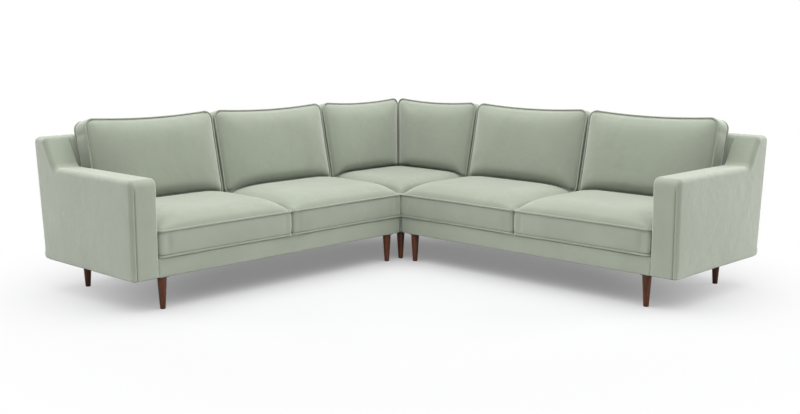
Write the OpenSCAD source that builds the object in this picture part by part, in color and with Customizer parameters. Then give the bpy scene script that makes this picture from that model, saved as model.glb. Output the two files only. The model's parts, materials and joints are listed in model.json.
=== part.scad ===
// Corner sofa in three sections: a left wing, a square corner and a right wing.
// The wings mirror each other. Each section is a timber base with springs and a deck,
// a raked back, tapered legs and loose seat and back cushions.

/* [Sections] */
// Length of a wing, from the inner corner of the rails to the outer face of its arm
wing_len = 1800; // [1500:10:2200]
// Depth of a section at the top of its back
depth_top = 890; // [810:5:990]
// Depth of a section at the foot of its back
depth_foot = 830; // [755:5:915]
// Height of the underside of the base above the floor
leg_h = 160; // [120:5:200]
// Height of the upholstered base
base_h = 96; // [85:1:130]
// Gap between neighbouring sections
section_gap = 0.8; // [0.6:0.1:3]
// Thickness of foam and fabric over the timber
pad_t = 14; // [10:1:20]

/* [Arms] */
// Width of an arm
arm_w = 139; // [110:1:180]
// Height of the flat top of an arm
arm_h = 638; // [580:1:700]
// Distance from the arm's front to the foot of its rise
scoop_y = 693; // [640:1:710]
// Distance from the arm's front to the start of its rear plateau
plateau_y = 783; // [760:1:800]
// Radius of the hollow where the arm starts to rise
scoop_r = 45; // [30:1:90]
// Radius of the arm's front top corner
arm_front_r = 38; // [26:1:60]
// Radius of the soft edges along the arm's two faces
arm_edge_r = 20; // [10:1:24]
// Radius of the arm's lower rear corner
arm_foot_r = 36; // [26:1:50]

/* [Backs] */
// Height of the top of the back and of the arm's rear plateau
back_h = 785; // [740:5:840]
// Distance from the rail's front to the back at deck level
seat_back_y = 652; // [600:1:680]
// Lean of the back's front face, in degrees from upright
rake = 12; // [8:0.5:14]
// Radius of the back's top edges
back_top_r = 28; // [22:1:34]

/* [Seat cushions] */
// Height of a seat cushion between its bottom and top welts
seat_t = 133; // [110:1:150]
// Height of the crown of a seat cushion above its top welt
seat_crown = 67; // [20:1:80]
// How far a seat cushion stands in front of the rail
seat_proud = 10; // [0:1:20]
// Gap between the outer seat cushion and the arm
arm_gap = 8; // [2:1:20]
// Radius of a seat cushion's upright corners
seat_corner_r = 18; // [18:1:60]

/* [Back cushions] */
// Width of a wing's outer back cushion
back_cushion_w = 800; // [700:1:820]
// Gap between the outer back cushion and the arm
back_end_gap = 28.5; // [10:0.5:60]
// Height of a back cushion along its lean
back_cushion_h = 477; // [440:1:520]
// Thickness of a back cushion at its welts
back_cushion_t = 115; // [95:1:130]
// Height of the crown on a back cushion's front
back_crown = 34; // [15:1:45]
// How far the ears of a back cushion stand above the middle of its top
ear_h = 14; // [0:1:25]
// Gap between neighbouring back cushions
back_gap = 12; // [8:1:24]
// Radius of a back cushion's corners
back_corner_r = 46; // [30:1:60]

/* [Welts and clearances] */
// How far a welt stands out of its seam
welt = 3; // [1.5:0.5:5]
// Gap between a cushion and what it lies on or leans on
soft_gap = 0.4; // [0.3:0.1:1]
// Gap between the welts of neighbouring seat cushions
seam_gap = 1; // [0.6:0.2:4]
// How far the sides of a cushion are drawn in at mid length
draw_in = 6; // [0:1:10]

/* [Frame] */
// Thickness of the frame timber
timber_t = 28; // [22:1:32]
// Thickness of the end rail that takes the connector prongs
end_rail_t = 36; // [34:1:44]
// Height of the back's top rail
top_rail_h = 60; // [40:5:80]
// Thickness of the plywood sides inside an arm
arm_ply_t = 15; // [9:1:18]
// Thickness of the deck felt
deck_t = 5.7; // [4:0.1:8]
// Thickness of the dust cloth under the frame
cloth_t = 1.2; // [0.8:0.1:2]

/* [Suspension] */
// Diameter of the zigzag spring wire
wire_d = 3.8; // [3:0.1:4.2]
// Width across a zigzag spring's bends
spring_w = 50; // [40:1:60]
// Distance between neighbouring runs of a zigzag spring
spring_step = 30; // [24:1:34]
// Number of zigzag springs under one seat
springs_per_seat = 4; // [2:1:5]
// Width of a strap in the back
strap_w = 60; // [40:5:80]
// Thickness of a strap in the back
strap_t = 2; // [1.5:0.5:3]
// Number of straps behind one seat
straps_per_seat = 3; // [2:1:4]

/* [Legs] */
// Diameter of a leg at its top
leg_top_d = 47; // [40:1:56]
// Diameter of a leg at its foot
leg_foot_d = 27; // [20:1:36]
// Distance of the front legs' centres behind the rail's front
leg_front_y = 26; // [25:1:40]
// Distance of the rear legs' centres in front of the back's foot
leg_rear_inset = 125; // [95:1:145]
// Distance of the inner legs' centres from the inner end of a wing
leg_inner_x = 90; // [60:1:140]
// Distance of the outer legs' centres from the arm's inner face
leg_outer_x = 34; // [25:1:60]
// Thickness of a leg's mounting plate
plate_t = 3; // [2:0.5:4]
// Side of a leg's square mounting plate
plate_w = 48; // [44:1:50]
// Diameter of the bolt that holds a leg
bolt_d = 8; // [6:1:10]
// Length of the bolt inside the leg
bolt_len = 30; // [20:1:40]

/* [Connectors] */
// Thickness of a connector's bar and prong
prong_t = 4; // [3:0.5:5]
// Width of a connector's prong
prong_w = 24; // [18:1:30]
// Height of a prong above the underside of the base
prong_h = 24; // [16:1:30]
// Width of a connector's plates
connector_w = 40; // [34:1:50]
// Clearance round a prong
prong_gap = 1; // [0.6:0.1:2]

/* [Hidden] */

// Colours
velvet = [0.66, 0.69, 0.62];
walnut = [0.26, 0.17, 0.11];
pine = [0.78, 0.64, 0.45];
steel = [0.6, 0.61, 0.63];
felt = [0.45, 0.47, 0.42];
black_cloth = [0.1, 0.1, 0.11];

deck_z = leg_h + base_h;
wing_end = -section_gap / 2;
arm_inner = -wing_len + arm_w;
rake_slope = tan(rake);
rear_slope = (depth_top - depth_foot) / (back_h - leg_h);
wire_gap = 0.2;
rail_top = deck_z - deck_t - wire_d - 2 * wire_gap;

// Seat cushions
seat_bottom = deck_z + soft_gap;
seat_top = seat_bottom + seat_t;
seat_rear_y = seat_back_y - 1;
seat_w = (-arm_inner - arm_gap) / 2;

// Radius at which the cushions that meet at the inner corner still clear each other
meeting_r = ((seat_proud - seam_gap / 2) * sqrt(2) + 2 * soft_gap) / (2 * sqrt(2) - 2);
seat_round = max(seat_corner_r, meeting_r);

// Back cushions
lean_y = seat_back_y + rake_slope * (seat_top - deck_z) - soft_gap / cos(rake);
back_side_gap = 17;
back_left_x = arm_inner + back_end_gap;
back_join_x = back_left_x + back_cushion_w;

// Timber
cover_end = 8;
rear_pad = 12;
frame_y0 = pad_t;
frame_y1 = seat_back_y - pad_t;
frame_x0 = arm_inner + pad_t;
frame_x1 = wing_end - pad_t;
stretcher_w = 45;
stretcher_h = 55;
mid_rail_z = 430;
mid_rail_h = 70;
sill_h = 70;
block_h = 45;

// Legs
leg_rear_y = depth_foot - leg_rear_inset;
wing_legs = [
    [arm_inner + leg_outer_x, leg_front_y],
    [-leg_inner_x, leg_front_y],
    [arm_inner + leg_outer_x, leg_rear_y],
    [-leg_inner_x, leg_rear_y]
];
corner_side_leg = 60;
corner_legs = [
    [leg_front_y, leg_front_y],
    [corner_side_leg, leg_rear_y],
    [leg_rear_y, corner_side_leg],
    [leg_rear_y, leg_rear_y]
];

// Connectors, as distances along the joint between two sections
connector_y = [130, 540];
connector_reach = 40;
prong_x = -26;
socket_t = 2;
socket_gap = 0.3;

// Steps on curves
soft_steps = 3;
fillet_steps = 6;
bend_steps = 3;
corner_steps = 3;
side_steps = 4;

// Vector and outline helpers

function unit(v) = v / norm(v);

// Points of the arc of radius r that rounds the corner at b on the way from a to c
function fillet(a, b, c, r, n) =
    let (
        u = unit(a - b),
        v = unit(c - b),
        half = acos(u * v) / 2,
        centre = b + unit(u + v) * (r / sin(half)),
        p = b + u * (r / tan(half)),
        turn = u[0] * v[1] - u[1] * v[0] > 0 ? -1 : 1,
        sweep = 180 - 2 * half,
        from = atan2(p[1] - centre[1], p[0] - centre[0])
    )
    [for (i = [0:n]) centre + r * [cos(from + turn * sweep * i / n), sin(from + turn * sweep * i / n)]];

// An anticlockwise outline moved inwards by d; points at or below keep_z stay at their height
function inset(outline, d, keep_z) =
    let (n = len(outline))
    [
        for (i = [0:n - 1])
            let (
                p = outline[i],
                e1 = unit(p - outline[(i + n - 1) % n]),
                e2 = unit(outline[(i + 1) % n] - p),
                n1 = [-e1[1], e1[0]],
                n2 = [-e2[1], e2[0]],
                q = p + d * (n1 + n2) / (1 + n1 * n2)
            )
            [q[0], p[1] < keep_z + 0.01 ? p[1] : q[1]]
    ];

// Skins a stack of rings that all have the same number of points and run the same way round.
// A tip closes an end with a fan of triangles; without one the end is a flat polygon.
module skin(rings, first_tip, last_tip) {
    m = len(rings);
    n = len(rings[0]);
    points = [for (ring = rings) each ring];
    tips = [if (first_tip != undef) first_tip, if (last_tip != undef) last_tip];
    last = (m - 1) * n;
    tip_a = m * n;
    tip_b = m * n + len(tips) - 1;
    sides = [
        for (j = [0:m - 2])
            for (i = [0:n - 1])
                let (a = j * n + i, b = j * n + (i + 1) % n, c = b + n, d = a + n)
                each [[a, d, c], [a, c, b]]
    ];
    start = first_tip == undef
        ? [[for (i = [0:n - 1]) i]]
        : [for (i = [0:n - 1]) [tip_a, i, (i + 1) % n]];
    end = last_tip == undef
        ? [[for (i = [n - 1:-1:0]) last + i]]
        : [for (i = [0:n - 1]) [tip_b, last + (i + 1) % n, last + i]];
    polyhedron(points = concat(points, tips), faces = concat(sides, start, end), convexity = 6);
}

// Offsets [along, inwards] that round an edge of radius r, from its flat end to its full outline
function soft_edge(r, n) = [for (k = [0:n]) r * [1 - cos(90 * k / n), 1 - sin(90 * k / n)]];

// A slab with the given outline in Y and Z, from x0 to x1, with soft edges round both faces
module soft_slab(outline, x0, x1, r, keep_z) {
    edge = soft_edge(r, soft_steps);
    stations = concat(
        [for (e = edge) [x0 + e[0], e[1]]],
        [for (k = [soft_steps:-1:0]) [x1 - edge[k][0], edge[k][1]]]
    );
    skin([for (s = stations) [for (q = inset(outline, s[1], keep_z)) [s[0], q[0], q[1]]]]);
}

// A plain prism with the given outline in Y and Z
module prism(outline, x0, x1) {
    translate([x0, 0, 0])
        rotate([90, 0, 90])
            linear_extrude(x1 - x0) polygon(outline);
}

module block(low, high) {
    translate(low) cube(high - low);
}

module at_corner() {
    translate([inner_corner, inner_corner, 0]) children();
}

module as_right() {
    at_corner() mirror([1, -1, 0]) children();
}

// Outlines of the arm and the back, seen from the right, with y to the right and z up

arm_corners = [
    [0, leg_h], [depth_foot, leg_h], [depth_top, back_h],
    [plateau_y, back_h], [scoop_y, arm_h], [0, arm_h]
];
arm_radii = [0, arm_foot_r, back_top_r, back_top_r, scoop_r, arm_front_r];

back_corners = [
    [seat_back_y, leg_h], [depth_foot, leg_h], [depth_top, back_h],
    [seat_back_y + rake_slope * (back_h - deck_z), back_h], [seat_back_y, deck_z]
];
back_radii = [0, 0, back_top_r, back_top_r, 0];

function rounded(corners, radii) =
    let (n = len(corners))
    [
        for (i = [0:n - 1])
            each radii[i] == 0
                ? [corners[i]]
                : fillet(corners[(i + n - 1) % n], corners[i], corners[(i + 1) % n], radii[i], fillet_steps)
    ];

arm_outline = rounded(arm_corners, arm_radii);
back_outline = rounded(back_corners, back_radii);

// The model is drawn from the inner corner of the rails, then moved so that its box is centred
rear_reach = max([for (p = back_outline) p[0]]);
inner_corner = (wing_len - rear_reach) / 2;

// The timber's outline inside the arm, which follows the rounded lower rear corner
arm_frame_outline = inset(rounded(arm_corners, [0, arm_foot_r, 0, 0, 0, 0]), pad_t, leg_h);
arm_foot_y = depth_foot - arm_foot_r;

function front_y(z, pad) = seat_back_y + pad + rake_slope * max(0, z - deck_z);
function rear_y(z, pad) = depth_foot - pad + rear_slope * (z - leg_h);

function back_core(front_pad, back_pad, top_pad) = [
    [front_y(leg_h, front_pad), leg_h],
    [rear_y(leg_h, back_pad), leg_h],
    [rear_y(back_h - top_pad, back_pad), back_h - top_pad],
    [front_y(back_h - top_pad, front_pad), back_h - top_pad],
    [front_y(deck_z, front_pad), deck_z]
];

cavity_front = pad_t - strap_t;
back_cavity = back_core(cavity_front, rear_pad, pad_t);
back_timber = back_core(pad_t, rear_pad, pad_t);

// Cushions

// Outline of a cushion about its middle; each side is drawn in at mid length by its own amount,
// given in the order front or bottom, right, rear or top, left
function cushion_outline(w, h, r, draw) =
    let (
        cx = w / 2 - r,
        cy = h / 2 - r,
        centres = [[cx, -cy], [cx, cy], [-cx, cy], [-cx, -cy]],
        inner = [for (k = [1:side_steps]) 1 - 2 * k / (side_steps + 1)]
    )
    [
        for (q = [0:3])
            each concat(
                [
                    for (i = [0:corner_steps])
                        centres[q] + r * [
                            cos(90 * (q - 1) + 90 * i / corner_steps),
                            sin(90 * (q - 1) + 90 * i / corner_steps)
                        ]
                ],
                [
                    for (t = inner)
                        let (pull = draw[(q + 1) % 4] * (1 - t * t))
                        q == 0 ? [w / 2 - pull, -cy * t]
                        : q == 1 ? [cx * t, h / 2 - pull]
                        : q == 2 ? [-w / 2 + pull, cy * t]
                        : [-cx * t, -h / 2 + pull]
                ]
            )
    ];

function shrunk(outline, w, h, d) = [for (p = outline) [p[0] * (1 - 2 * d / w), p[1] * (1 - 2 * d / h)]];

function bulge(t) = 1 - pow(min(1, abs(t)), 4);

// Height of the crown over a panel of the given size
function crown_at(p, w, h, crown) = crown * bulge(2 * p[0] / w) * bulge(2 * p[1] / h);

// Levels [height, inset] of a boxed edge with a welt near each end
function boxing(t) = [
    [0, welt], [welt, 0], [2 * welt, welt],
    [t / 2, 0.6 * welt],
    [t - 3 * welt, welt], [t - 2 * welt, 0], [t - welt, welt]
];
panel_scales = [0.965, 0.89, 0.76, 0.57, 0.33];

// Rings of a cushion about its middle, with its flat face at height 0
function cushion_rings(w, h, r, t, crown, draw) =
    let (outline = cushion_outline(w, h, r, draw))
    concat(
        [for (level = boxing(t)) [for (p = shrunk(outline, w, h, level[1])) [p[0], p[1], level[0]]]],
        [
            for (s = panel_scales)
                [for (p = outline) [p[0] * s, p[1] * s, t - welt + crown_at(p * s, w, h, crown)]]
        ]
    );

// Height of the seat cushions' tops at a point, from the boxes that hold the cushions
function seat_height(x, y, boxes) =
    seat_top - welt + max([
        for (box = boxes)
            let (mid = (box[0] + box[1]) / 2, size = box[1] - box[0])
            crown_at([x - mid[0], y - mid[1]], size[0], size[1], seat_crown)
    ]);

module seat_cushion(box) {
    w = box[1][0] - box[0][0];
    d = box[1][1] - box[0][1];
    rings = cushion_rings(w, d, seat_round, seat_t, seat_crown, draw_in * [1, 1, 1, 1]);
    color(velvet)
        translate([(box[0][0] + box[1][0]) / 2, (box[0][1] + box[1][1]) / 2, seat_bottom])
            skin(rings, [0, 0, 0], [0, 0, seat_t - welt + seat_crown]);
}

// Distance up the lean over which a back cushion's bottom settles onto the seat cushion
sag_reach = 200;

// Distance up the lean of a back cushion's point, moved so that its bottom follows the seat cushions
function settled(b, c, x, boxes) =
    let (
        y = lean_y - c * cos(rake),
        floor_z = seat_height(x, y, boxes) + 2 * soft_gap + welt,
        foot = (floor_z - seat_top - c * sin(rake)) / cos(rake)
    )
    b + foot * pow(max(0, 1 - b / sag_reach), 2);

// Place of a back cushion's point: p is its distances across, up the lean and out of the back.
// A mitred end follows the corner's diagonal.
function leaned(p, x0, x1, mitred, boxes) =
    let (
        t = p[0] / (x1 - x0) + 0.5,
        flat_y = lean_y + p[1] * sin(rake) - p[2] * cos(rake),
        guess = mitred ? flat_y - soft_gap : x1,
        b = settled(p[1], p[2], x0 + t * (guess - x0), boxes),
        y = lean_y + b * sin(rake) - p[2] * cos(rake),
        far = mitred ? y - soft_gap : x1
    )
    [x0 + t * (far - x0), y, seat_top + b * cos(rake) + p[2] * sin(rake)];

module back_cushion(x0, x1, mitred, boxes) {
    w = x1 - x0;
    rings = cushion_rings(
        w, back_cushion_h, back_corner_r, back_cushion_t, back_crown, [0, draw_in, ear_h, draw_in]
    );
    mid = back_cushion_h / 2;
    lifted = [for (ring = rings) [for (p = ring) p + [0, mid, 0]]];
    placed = [for (ring = lifted) [for (p = ring) leaned(p, x0, x1, mitred, boxes)]];
    color(velvet)
        skin(
            placed,
            leaned([0, mid, 0], x0, x1, mitred, boxes),
            leaned([0, mid, back_cushion_t - welt + back_crown], x0, x1, mitred, boxes)
        );
}

// Boxes of the seat cushions in plan
seat_front = -seat_proud;
outer_seat = [[arm_inner + arm_gap, seat_front], [-seat_w - seam_gap / 2, seat_rear_y]];
inner_seat = [[-seat_w + seam_gap / 2, seat_front], [-seam_gap / 2, seat_rear_y]];
corner_seat_box = [[seam_gap / 2, seam_gap / 2], [seat_rear_y, seat_rear_y]];

// Legs and their plates

module leg(p) {
    color(walnut)
        translate([p[0], p[1], 0])
            difference() {
                cylinder(h = leg_h - plate_t, d1 = leg_foot_d, d2 = leg_top_d, $fn = 64);
                translate([0, 0, leg_h - plate_t - bolt_len - 1])
                    cylinder(h = bolt_len + 2, d = bolt_d + 2 * wire_gap, $fn = 32);
            }
}

module leg_plates(places) {
    color(steel)
        for (p = places)
            translate([p[0], p[1], leg_h - plate_t]) {
                translate([-plate_w / 2, -plate_w / 2, 0]) cube([plate_w, plate_w, plate_t]);
                translate([0, 0, -bolt_len]) cylinder(h = bolt_len + 1, d = bolt_d, $fn = 32);
            }
}

// Holes through the dust cloth for the plates and connectors
module plate_holes(places) {
    for (p = places)
        translate([p[0] - plate_w / 2 - 1, p[1] - plate_w / 2 - 1, leg_h - 2 * cloth_t])
            cube([plate_w + 2, plate_w + 2, 3 * cloth_t]);
}

// Springs and straps

// One edge of a zigzag wire, a distance to the left of its path
function zigzag_edge(runs, offset) = [
    for (i = [0:runs - 2])
        let (
            side = i % 2 == 0 ? 1 : -1,
            centre = [side * (spring_w - spring_step) / 2, (i + 0.5) * spring_step],
            r = spring_step / 2 - side * offset
        )
        for (k = [0:bend_steps])
            let (angle = -90 + side * 180 * k / bend_steps)
            centre + r * [cos(angle), sin(angle)]
];

// One zigzag spring along Y, with its first run at y 0, drawn with a square wire
module zigzag_spring(runs) {
    half = wire_d / 2;
    start_x = -(spring_w - spring_step) / 2;
    end_x = runs % 2 == 0 ? start_x : -start_x;
    end_y = (runs - 1) * spring_step;
    left = zigzag_edge(runs, half);
    right = zigzag_edge(runs, -half);
    end_side = runs % 2 == 0 ? -half : half;
    translate([0, 0, -half])
        linear_extrude(wire_d)
            polygon(concat(
                [[start_x, half]],
                left,
                [[end_x, end_y + end_side], [end_x, end_y - end_side]],
                [for (i = [len(right) - 1:-1:0]) right[i]],
                [[start_x, -half]]
            ));
}

spring_z = rail_top + wire_gap + wire_d / 2;
spring_runs = floor((frame_y1 - frame_y0 - timber_t) / spring_step) + 1;
spring_y0 = (frame_y0 + frame_y1 - (spring_runs - 1) * spring_step) / 2;

module springs(x0, x1, count) {
    pitch = (x1 - x0) / count;
    color(steel)
        for (i = [0:count - 1])
            translate([x0 + (i + 0.5) * pitch, spring_y0, spring_z]) zigzag_spring(spring_runs);
}

strap_low = deck_z + 20;
strap_high = back_h - pad_t - 10;

module straps(x0, x1, count) {
    pitch = (x1 - x0) / count;
    outline = [
        [front_y(strap_low, cavity_front), strap_low],
        [front_y(strap_low, pad_t), strap_low],
        [front_y(strap_high, pad_t), strap_high],
        [front_y(strap_high, cavity_front), strap_high]
    ];
    color(black_cloth)
        for (i = [0:count - 1])
            let (mid = x0 + (i + 0.5) * pitch)
            prism(outline, mid - strap_w / 2, mid + strap_w / 2);
}

// Base: cover, frame, deck and dust cloth

// An upholstered band round the base, open above and below
module base_cover(low, high, round_at) {
    corners = [low, [high[0], low[1]], high, [low[0], high[1]]];
    radii = [for (i = [0:3]) i == round_at ? base_corner_r : base_small_r];
    plan = rounded(corners, radii);
    edge = soft_edge(base_edge_r, soft_steps);
    rings = concat(
        [[for (p = plan) [p[0], p[1], leg_h]]],
        [
            for (k = [soft_steps:-1:0])
                [for (q = inset(plan, edge[k][1], -10 * wing_len)) [q[0], q[1], deck_z - edge[k][0]]]
        ]
    );
    color(velvet)
        difference() {
            skin(rings);
            block(
                [low[0] + pad_t, low[1] + pad_t, leg_h - 1],
                [high[0] - pad_t, high[1] - pad_t, deck_z + 1]
            );
        }
}
base_corner_r = 24;
base_small_r = 12;
base_edge_r = 11;

// Timber rails round the base, a stretcher along Y, and blocks that carry the front legs
module seat_frame(low, high, ends, stretcher_x, blocks) {
    difference() {
        block([low[0], low[1], leg_h], [high[0], high[1], rail_top]);
        block(
            [low[0] + ends[0], low[1] + timber_t, leg_h - 1],
            [high[0] - ends[1], high[1] - timber_t, rail_top + 1]
        );
    }
    for (x = stretcher_x)
        block(
            [x - stretcher_w / 2, low[1] + timber_t - 1, leg_h],
            [x + stretcher_w / 2, high[1] - timber_t + 1, leg_h + stretcher_h]
        );
    for (b = blocks)
        block([b[0], b[1], leg_h], [b[2], b[3], leg_h + block_h]);
}

// Mortises in an end rail at x, open below, one for each connector prong
module mortises(x) {
    for (y = connector_y)
        block(
            [x - prong_t / 2 - prong_gap, y - prong_w / 2 - prong_gap, leg_h - 1],
            [x + prong_t / 2 + prong_gap, y + prong_w / 2 + prong_gap, leg_h + prong_h + prong_gap]
        );
}

deck_border = 20;

// Felt deck with a thicker border that rests on the rails
module deck(low, high) {
    color(felt)
        difference() {
            block([low[0], low[1], rail_top], [high[0], high[1], deck_z]);
            block(
                [low[0] + deck_border, low[1] + deck_slot, rail_top - 1],
                [high[0] - deck_border, high[1] - deck_slot, rail_top + wire_d + 2 * wire_gap]
            );
        }
}
deck_slot = 8;

// Wing pieces, drawn for the left wing

module wing_arm_cover() {
    color(velvet)
        difference() {
            soft_slab(arm_outline, -wing_len, arm_inner, arm_edge_r, leg_h);
            prism(arm_frame_outline, -wing_len + pad_t, arm_inner - pad_t);
            block([-wing_len + pad_t, pad_t, leg_h - 1], [arm_inner - pad_t, arm_foot_y - 2, leg_h + 1]);
        }
}

module wing_arm_frame() {
    x0 = -wing_len + pad_t;
    x1 = arm_inner - pad_t;
    inner = inset(inset(arm_corners, pad_t, leg_h), timber_t, -1);
    color(pine)
        difference() {
            prism(arm_frame_outline, x0, x1);
            prism(inner, x0 + arm_ply_t, x1 - arm_ply_t);
        }
}

module wing_base_cover() {
    base_cover([arm_inner, 0], [wing_end, seat_back_y], 1);
}

module wing_seat_frame() {
    seat_mid = -seat_w;
    reach = plate_w / 2 + 4;
    color(pine)
        difference() {
            seat_frame(
                [frame_x0, frame_y0], [frame_x1, frame_y1], [timber_t, end_rail_t], [seat_mid],
                [
                    [frame_x0, frame_y0, wing_legs[0][0] + reach, wing_legs[0][1] + reach],
                    [wing_legs[1][0] - reach, frame_y0, frame_x1, wing_legs[1][1] + reach]
                ]
            );
            mortises(prong_x);
        }
}

module wing_seat_springs() {
    springs(frame_x0 + timber_t, -seat_w, springs_per_seat);
    springs(-seat_w, frame_x1 - end_rail_t, springs_per_seat);
}

module wing_deck() {
    deck([frame_x0, frame_y0], [frame_x1, frame_y1]);
}

module wing_back_cover() {
    color(velvet)
        difference() {
            soft_slab(back_outline, arm_inner, wing_end, back_edge_r, leg_h);
            prism(back_cavity, arm_inner + cover_end, wing_end - cover_end);
            block(
                [arm_inner + cover_end, front_y(leg_h, cavity_front), leg_h - 1],
                [wing_end - cover_end, rear_y(leg_h, rear_pad), leg_h + 1]
            );
        }
}
back_edge_r = 14;

// Members of a back frame between x0 and x1: uprights, top rail, middle rail and two sills
module back_members(x0, x1, uprights) {
    top_z = back_h - pad_t;
    for (x = uprights)
        prism(back_timber, x - timber_t / 2, x + timber_t / 2);
    intersection() {
        prism(back_timber, x0, x1);
        union() {
            block([x0, 0, top_z - top_rail_h], [x1, depth_top, top_z]);
            block(
                [x0, 0, mid_rail_z],
                [x1, front_y(mid_rail_z + mid_rail_h, pad_t) + timber_t, mid_rail_z + mid_rail_h]
            );
            block([x0, 0, leg_h], [x1, front_y(leg_h, pad_t) + timber_t, leg_h + sill_h]);
            block([x0, rear_y(leg_h, rear_pad) - timber_t, leg_h], [x1, depth_top, leg_h + sill_h]);
        }
    }
}

// Blocks across the sills that carry the rear legs
module leg_blocks(places) {
    reach = plate_w / 2 + 4;
    for (p = places)
        block(
            [p[0] - reach, front_y(leg_h, pad_t) + 1, leg_h],
            [p[0] + reach, rear_y(leg_h, rear_pad) - 1, leg_h + block_h]
        );
}

module wing_back_frame() {
    x0 = arm_inner + cover_end;
    x1 = wing_end - cover_end;
    color(pine) {
        back_members(x0, x1, [x0 + timber_t / 2, -seat_w, x1 - timber_t / 2]);
        leg_blocks([[x0 + plate_w / 2 + 4, 0], wing_legs[3]]);
    }
}

module wing_back_straps() {
    x0 = arm_inner + cover_end + timber_t;
    x1 = wing_end - cover_end - timber_t;
    straps(x0, -seat_w - timber_t / 2, straps_per_seat);
    straps(-seat_w + timber_t / 2, x1, straps_per_seat);
}

cloth_in = 6;

module wing_dust_cloth() {
    color(black_cloth)
        difference() {
            union() {
                block(
                    [-wing_len + cloth_in, cloth_in, leg_h - cloth_t],
                    [wing_end - cloth_in, arm_foot_y - cloth_in, leg_h]
                );
                block(
                    [arm_inner + cloth_in, cloth_in, leg_h - cloth_t],
                    [wing_end - cloth_in, depth_foot - cloth_in, leg_h]
                );
            }
            plate_holes(wing_legs);
            for (y = connector_y)
                block(
                    [wing_end - connector_reach - 6, y - connector_w / 2 - 1, leg_h - 2 * cloth_t],
                    [wing_end, y + connector_w / 2 + 1, leg_h + cloth_t]
                );
        }
}

module wing_leg_plates() {
    leg_plates(wing_legs);
}

// Slotted plates under the end rail that drop over the corner section's prongs
module wing_sockets() {
    color(steel)
        for (y = connector_y)
            difference() {
                block(
                    [wing_end - connector_reach - 4, y - connector_w / 2, leg_h - socket_t],
                    [wing_end - 2, y + connector_w / 2, leg_h]
                );
                block(
                    [prong_x - prong_t / 2 - prong_gap, y - prong_w / 2 - prong_gap, leg_h - socket_t - 1],
                    [prong_x + prong_t / 2 + prong_gap, y + prong_w / 2 + prong_gap, leg_h + 1]
                );
            }
}

module wing_seat_outer() {
    seat_cushion(outer_seat);
}

module wing_seat_inner() {
    seat_cushion(inner_seat);
}

module wing_back_outer() {
    back_cushion(back_left_x, back_join_x, false, [outer_seat, inner_seat]);
}

module wing_back_inner() {
    back_cushion(back_join_x + back_gap, -back_side_gap, false, [outer_seat, inner_seat]);
}

// Corner pieces

module both_sides() {
    children();
    mirror([1, -1, 0]) children();
}

corner_low = section_gap / 2;

module corner_base_cover() {
    base_cover([corner_low, corner_low], [seat_back_y, seat_back_y], 0);
}

module corner_seat_frame() {
    low = corner_low + pad_t;
    reach = plate_w / 2 + 4;
    color(pine)
        seat_frame(
            [low, low], [frame_y1, frame_y1], [timber_t, timber_t], [],
            [[low, low, corner_legs[0][0] + reach, corner_legs[0][1] + reach]]
        );
}

module corner_seat_springs() {
    springs(corner_low + pad_t + timber_t, frame_y1 - timber_t, springs_per_seat);
}

module corner_deck() {
    deck([corner_low + pad_t, corner_low + pad_t], [frame_y1, frame_y1]);
}

mitre_steps = 2;
mitre_inner_r = 0.5;
mitre_outer_r = 26;

// Where the point [u, z] of the back's outline lies at an angle round the mitred corner
function mitre_point(u, z, angle) =
    let (
        share = (u - front_y(z, 0)) / (rear_y(z, 0) - front_y(z, 0)),
        r = mitre_inner_r + share * (mitre_outer_r - mitre_inner_r)
    )
    [u - r + r * cos(angle), u - r + r * sin(angle), z];

// The left half of the corner's back cover, up to the seam on the mitre
module corner_half_back_cover() {
    edge = soft_edge(back_edge_r, soft_steps);
    straight = [for (e = edge) [for (q = inset(back_outline, e[1], leg_h)) [corner_low + e[0], q[0], q[1]]]];
    turn = [
        for (k = [0:mitre_steps])
            [for (q = back_outline) mitre_point(q[0], q[1], 90 - 45 * k / mitre_steps)]
    ];
    color(velvet)
        difference() {
            skin(concat(straight, turn));
            corner_l(back_cavity, corner_low + cover_end);
            corner_l(foot_slot, corner_low + cover_end);
        }
}
foot_slot = [
    [front_y(leg_h, cavity_front), leg_h - 1], [rear_y(leg_h, rear_pad), leg_h - 1],
    [rear_y(leg_h, rear_pad), leg_h + 1], [front_y(leg_h, cavity_front), leg_h + 1]
];

// A back outline carried round the corner from x0, cut to its own slope at the mitre
module corner_l(outline, x0) {
    both_sides()
        intersection() {
            prism(outline, x0, depth_top);
            mirror([1, -1, 0]) prism(trimmed(outline), -1, depth_top + 1);
        }
}

// The region in front of an outline's rear face
function trimmed(outline) = [
    [-1, outline[0][1]], outline[1], outline[2], [-1, outline[2][1]]
];

module corner_back_frame() {
    x0 = corner_low + cover_end;
    post = front_y(leg_h, pad_t);
    color(pine) {
        both_sides()
            intersection() {
                union() {
                    back_members(x0, depth_top, [x0 + timber_t / 2, post + timber_t / 2]);
                    leg_blocks([[corner_side_leg, 0], [leg_rear_y, 0]]);
                }
                mirror([1, -1, 0]) prism(trimmed(back_timber), -1, depth_top + 1);
            }
    }
}

module corner_back_straps() {
    both_sides()
        straps(corner_low + cover_end + timber_t, front_y(leg_h, pad_t), straps_per_seat);
}

module corner_dust_cloth() {
    color(black_cloth)
        difference() {
            block(
                [corner_low + cloth_in, corner_low + cloth_in, leg_h - cloth_t],
                [depth_foot - cloth_in, depth_foot - cloth_in, leg_h]
            );
            plate_holes(corner_legs);
            both_sides()
                for (y = connector_y)
                    block(
                        [corner_low, y - connector_w / 2 - 1, leg_h - 2 * cloth_t],
                        [corner_low + connector_reach + 6, y + connector_w / 2 + 1, leg_h + cloth_t]
                    );
        }
}

module corner_leg_plates() {
    leg_plates(corner_legs);
}

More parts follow.
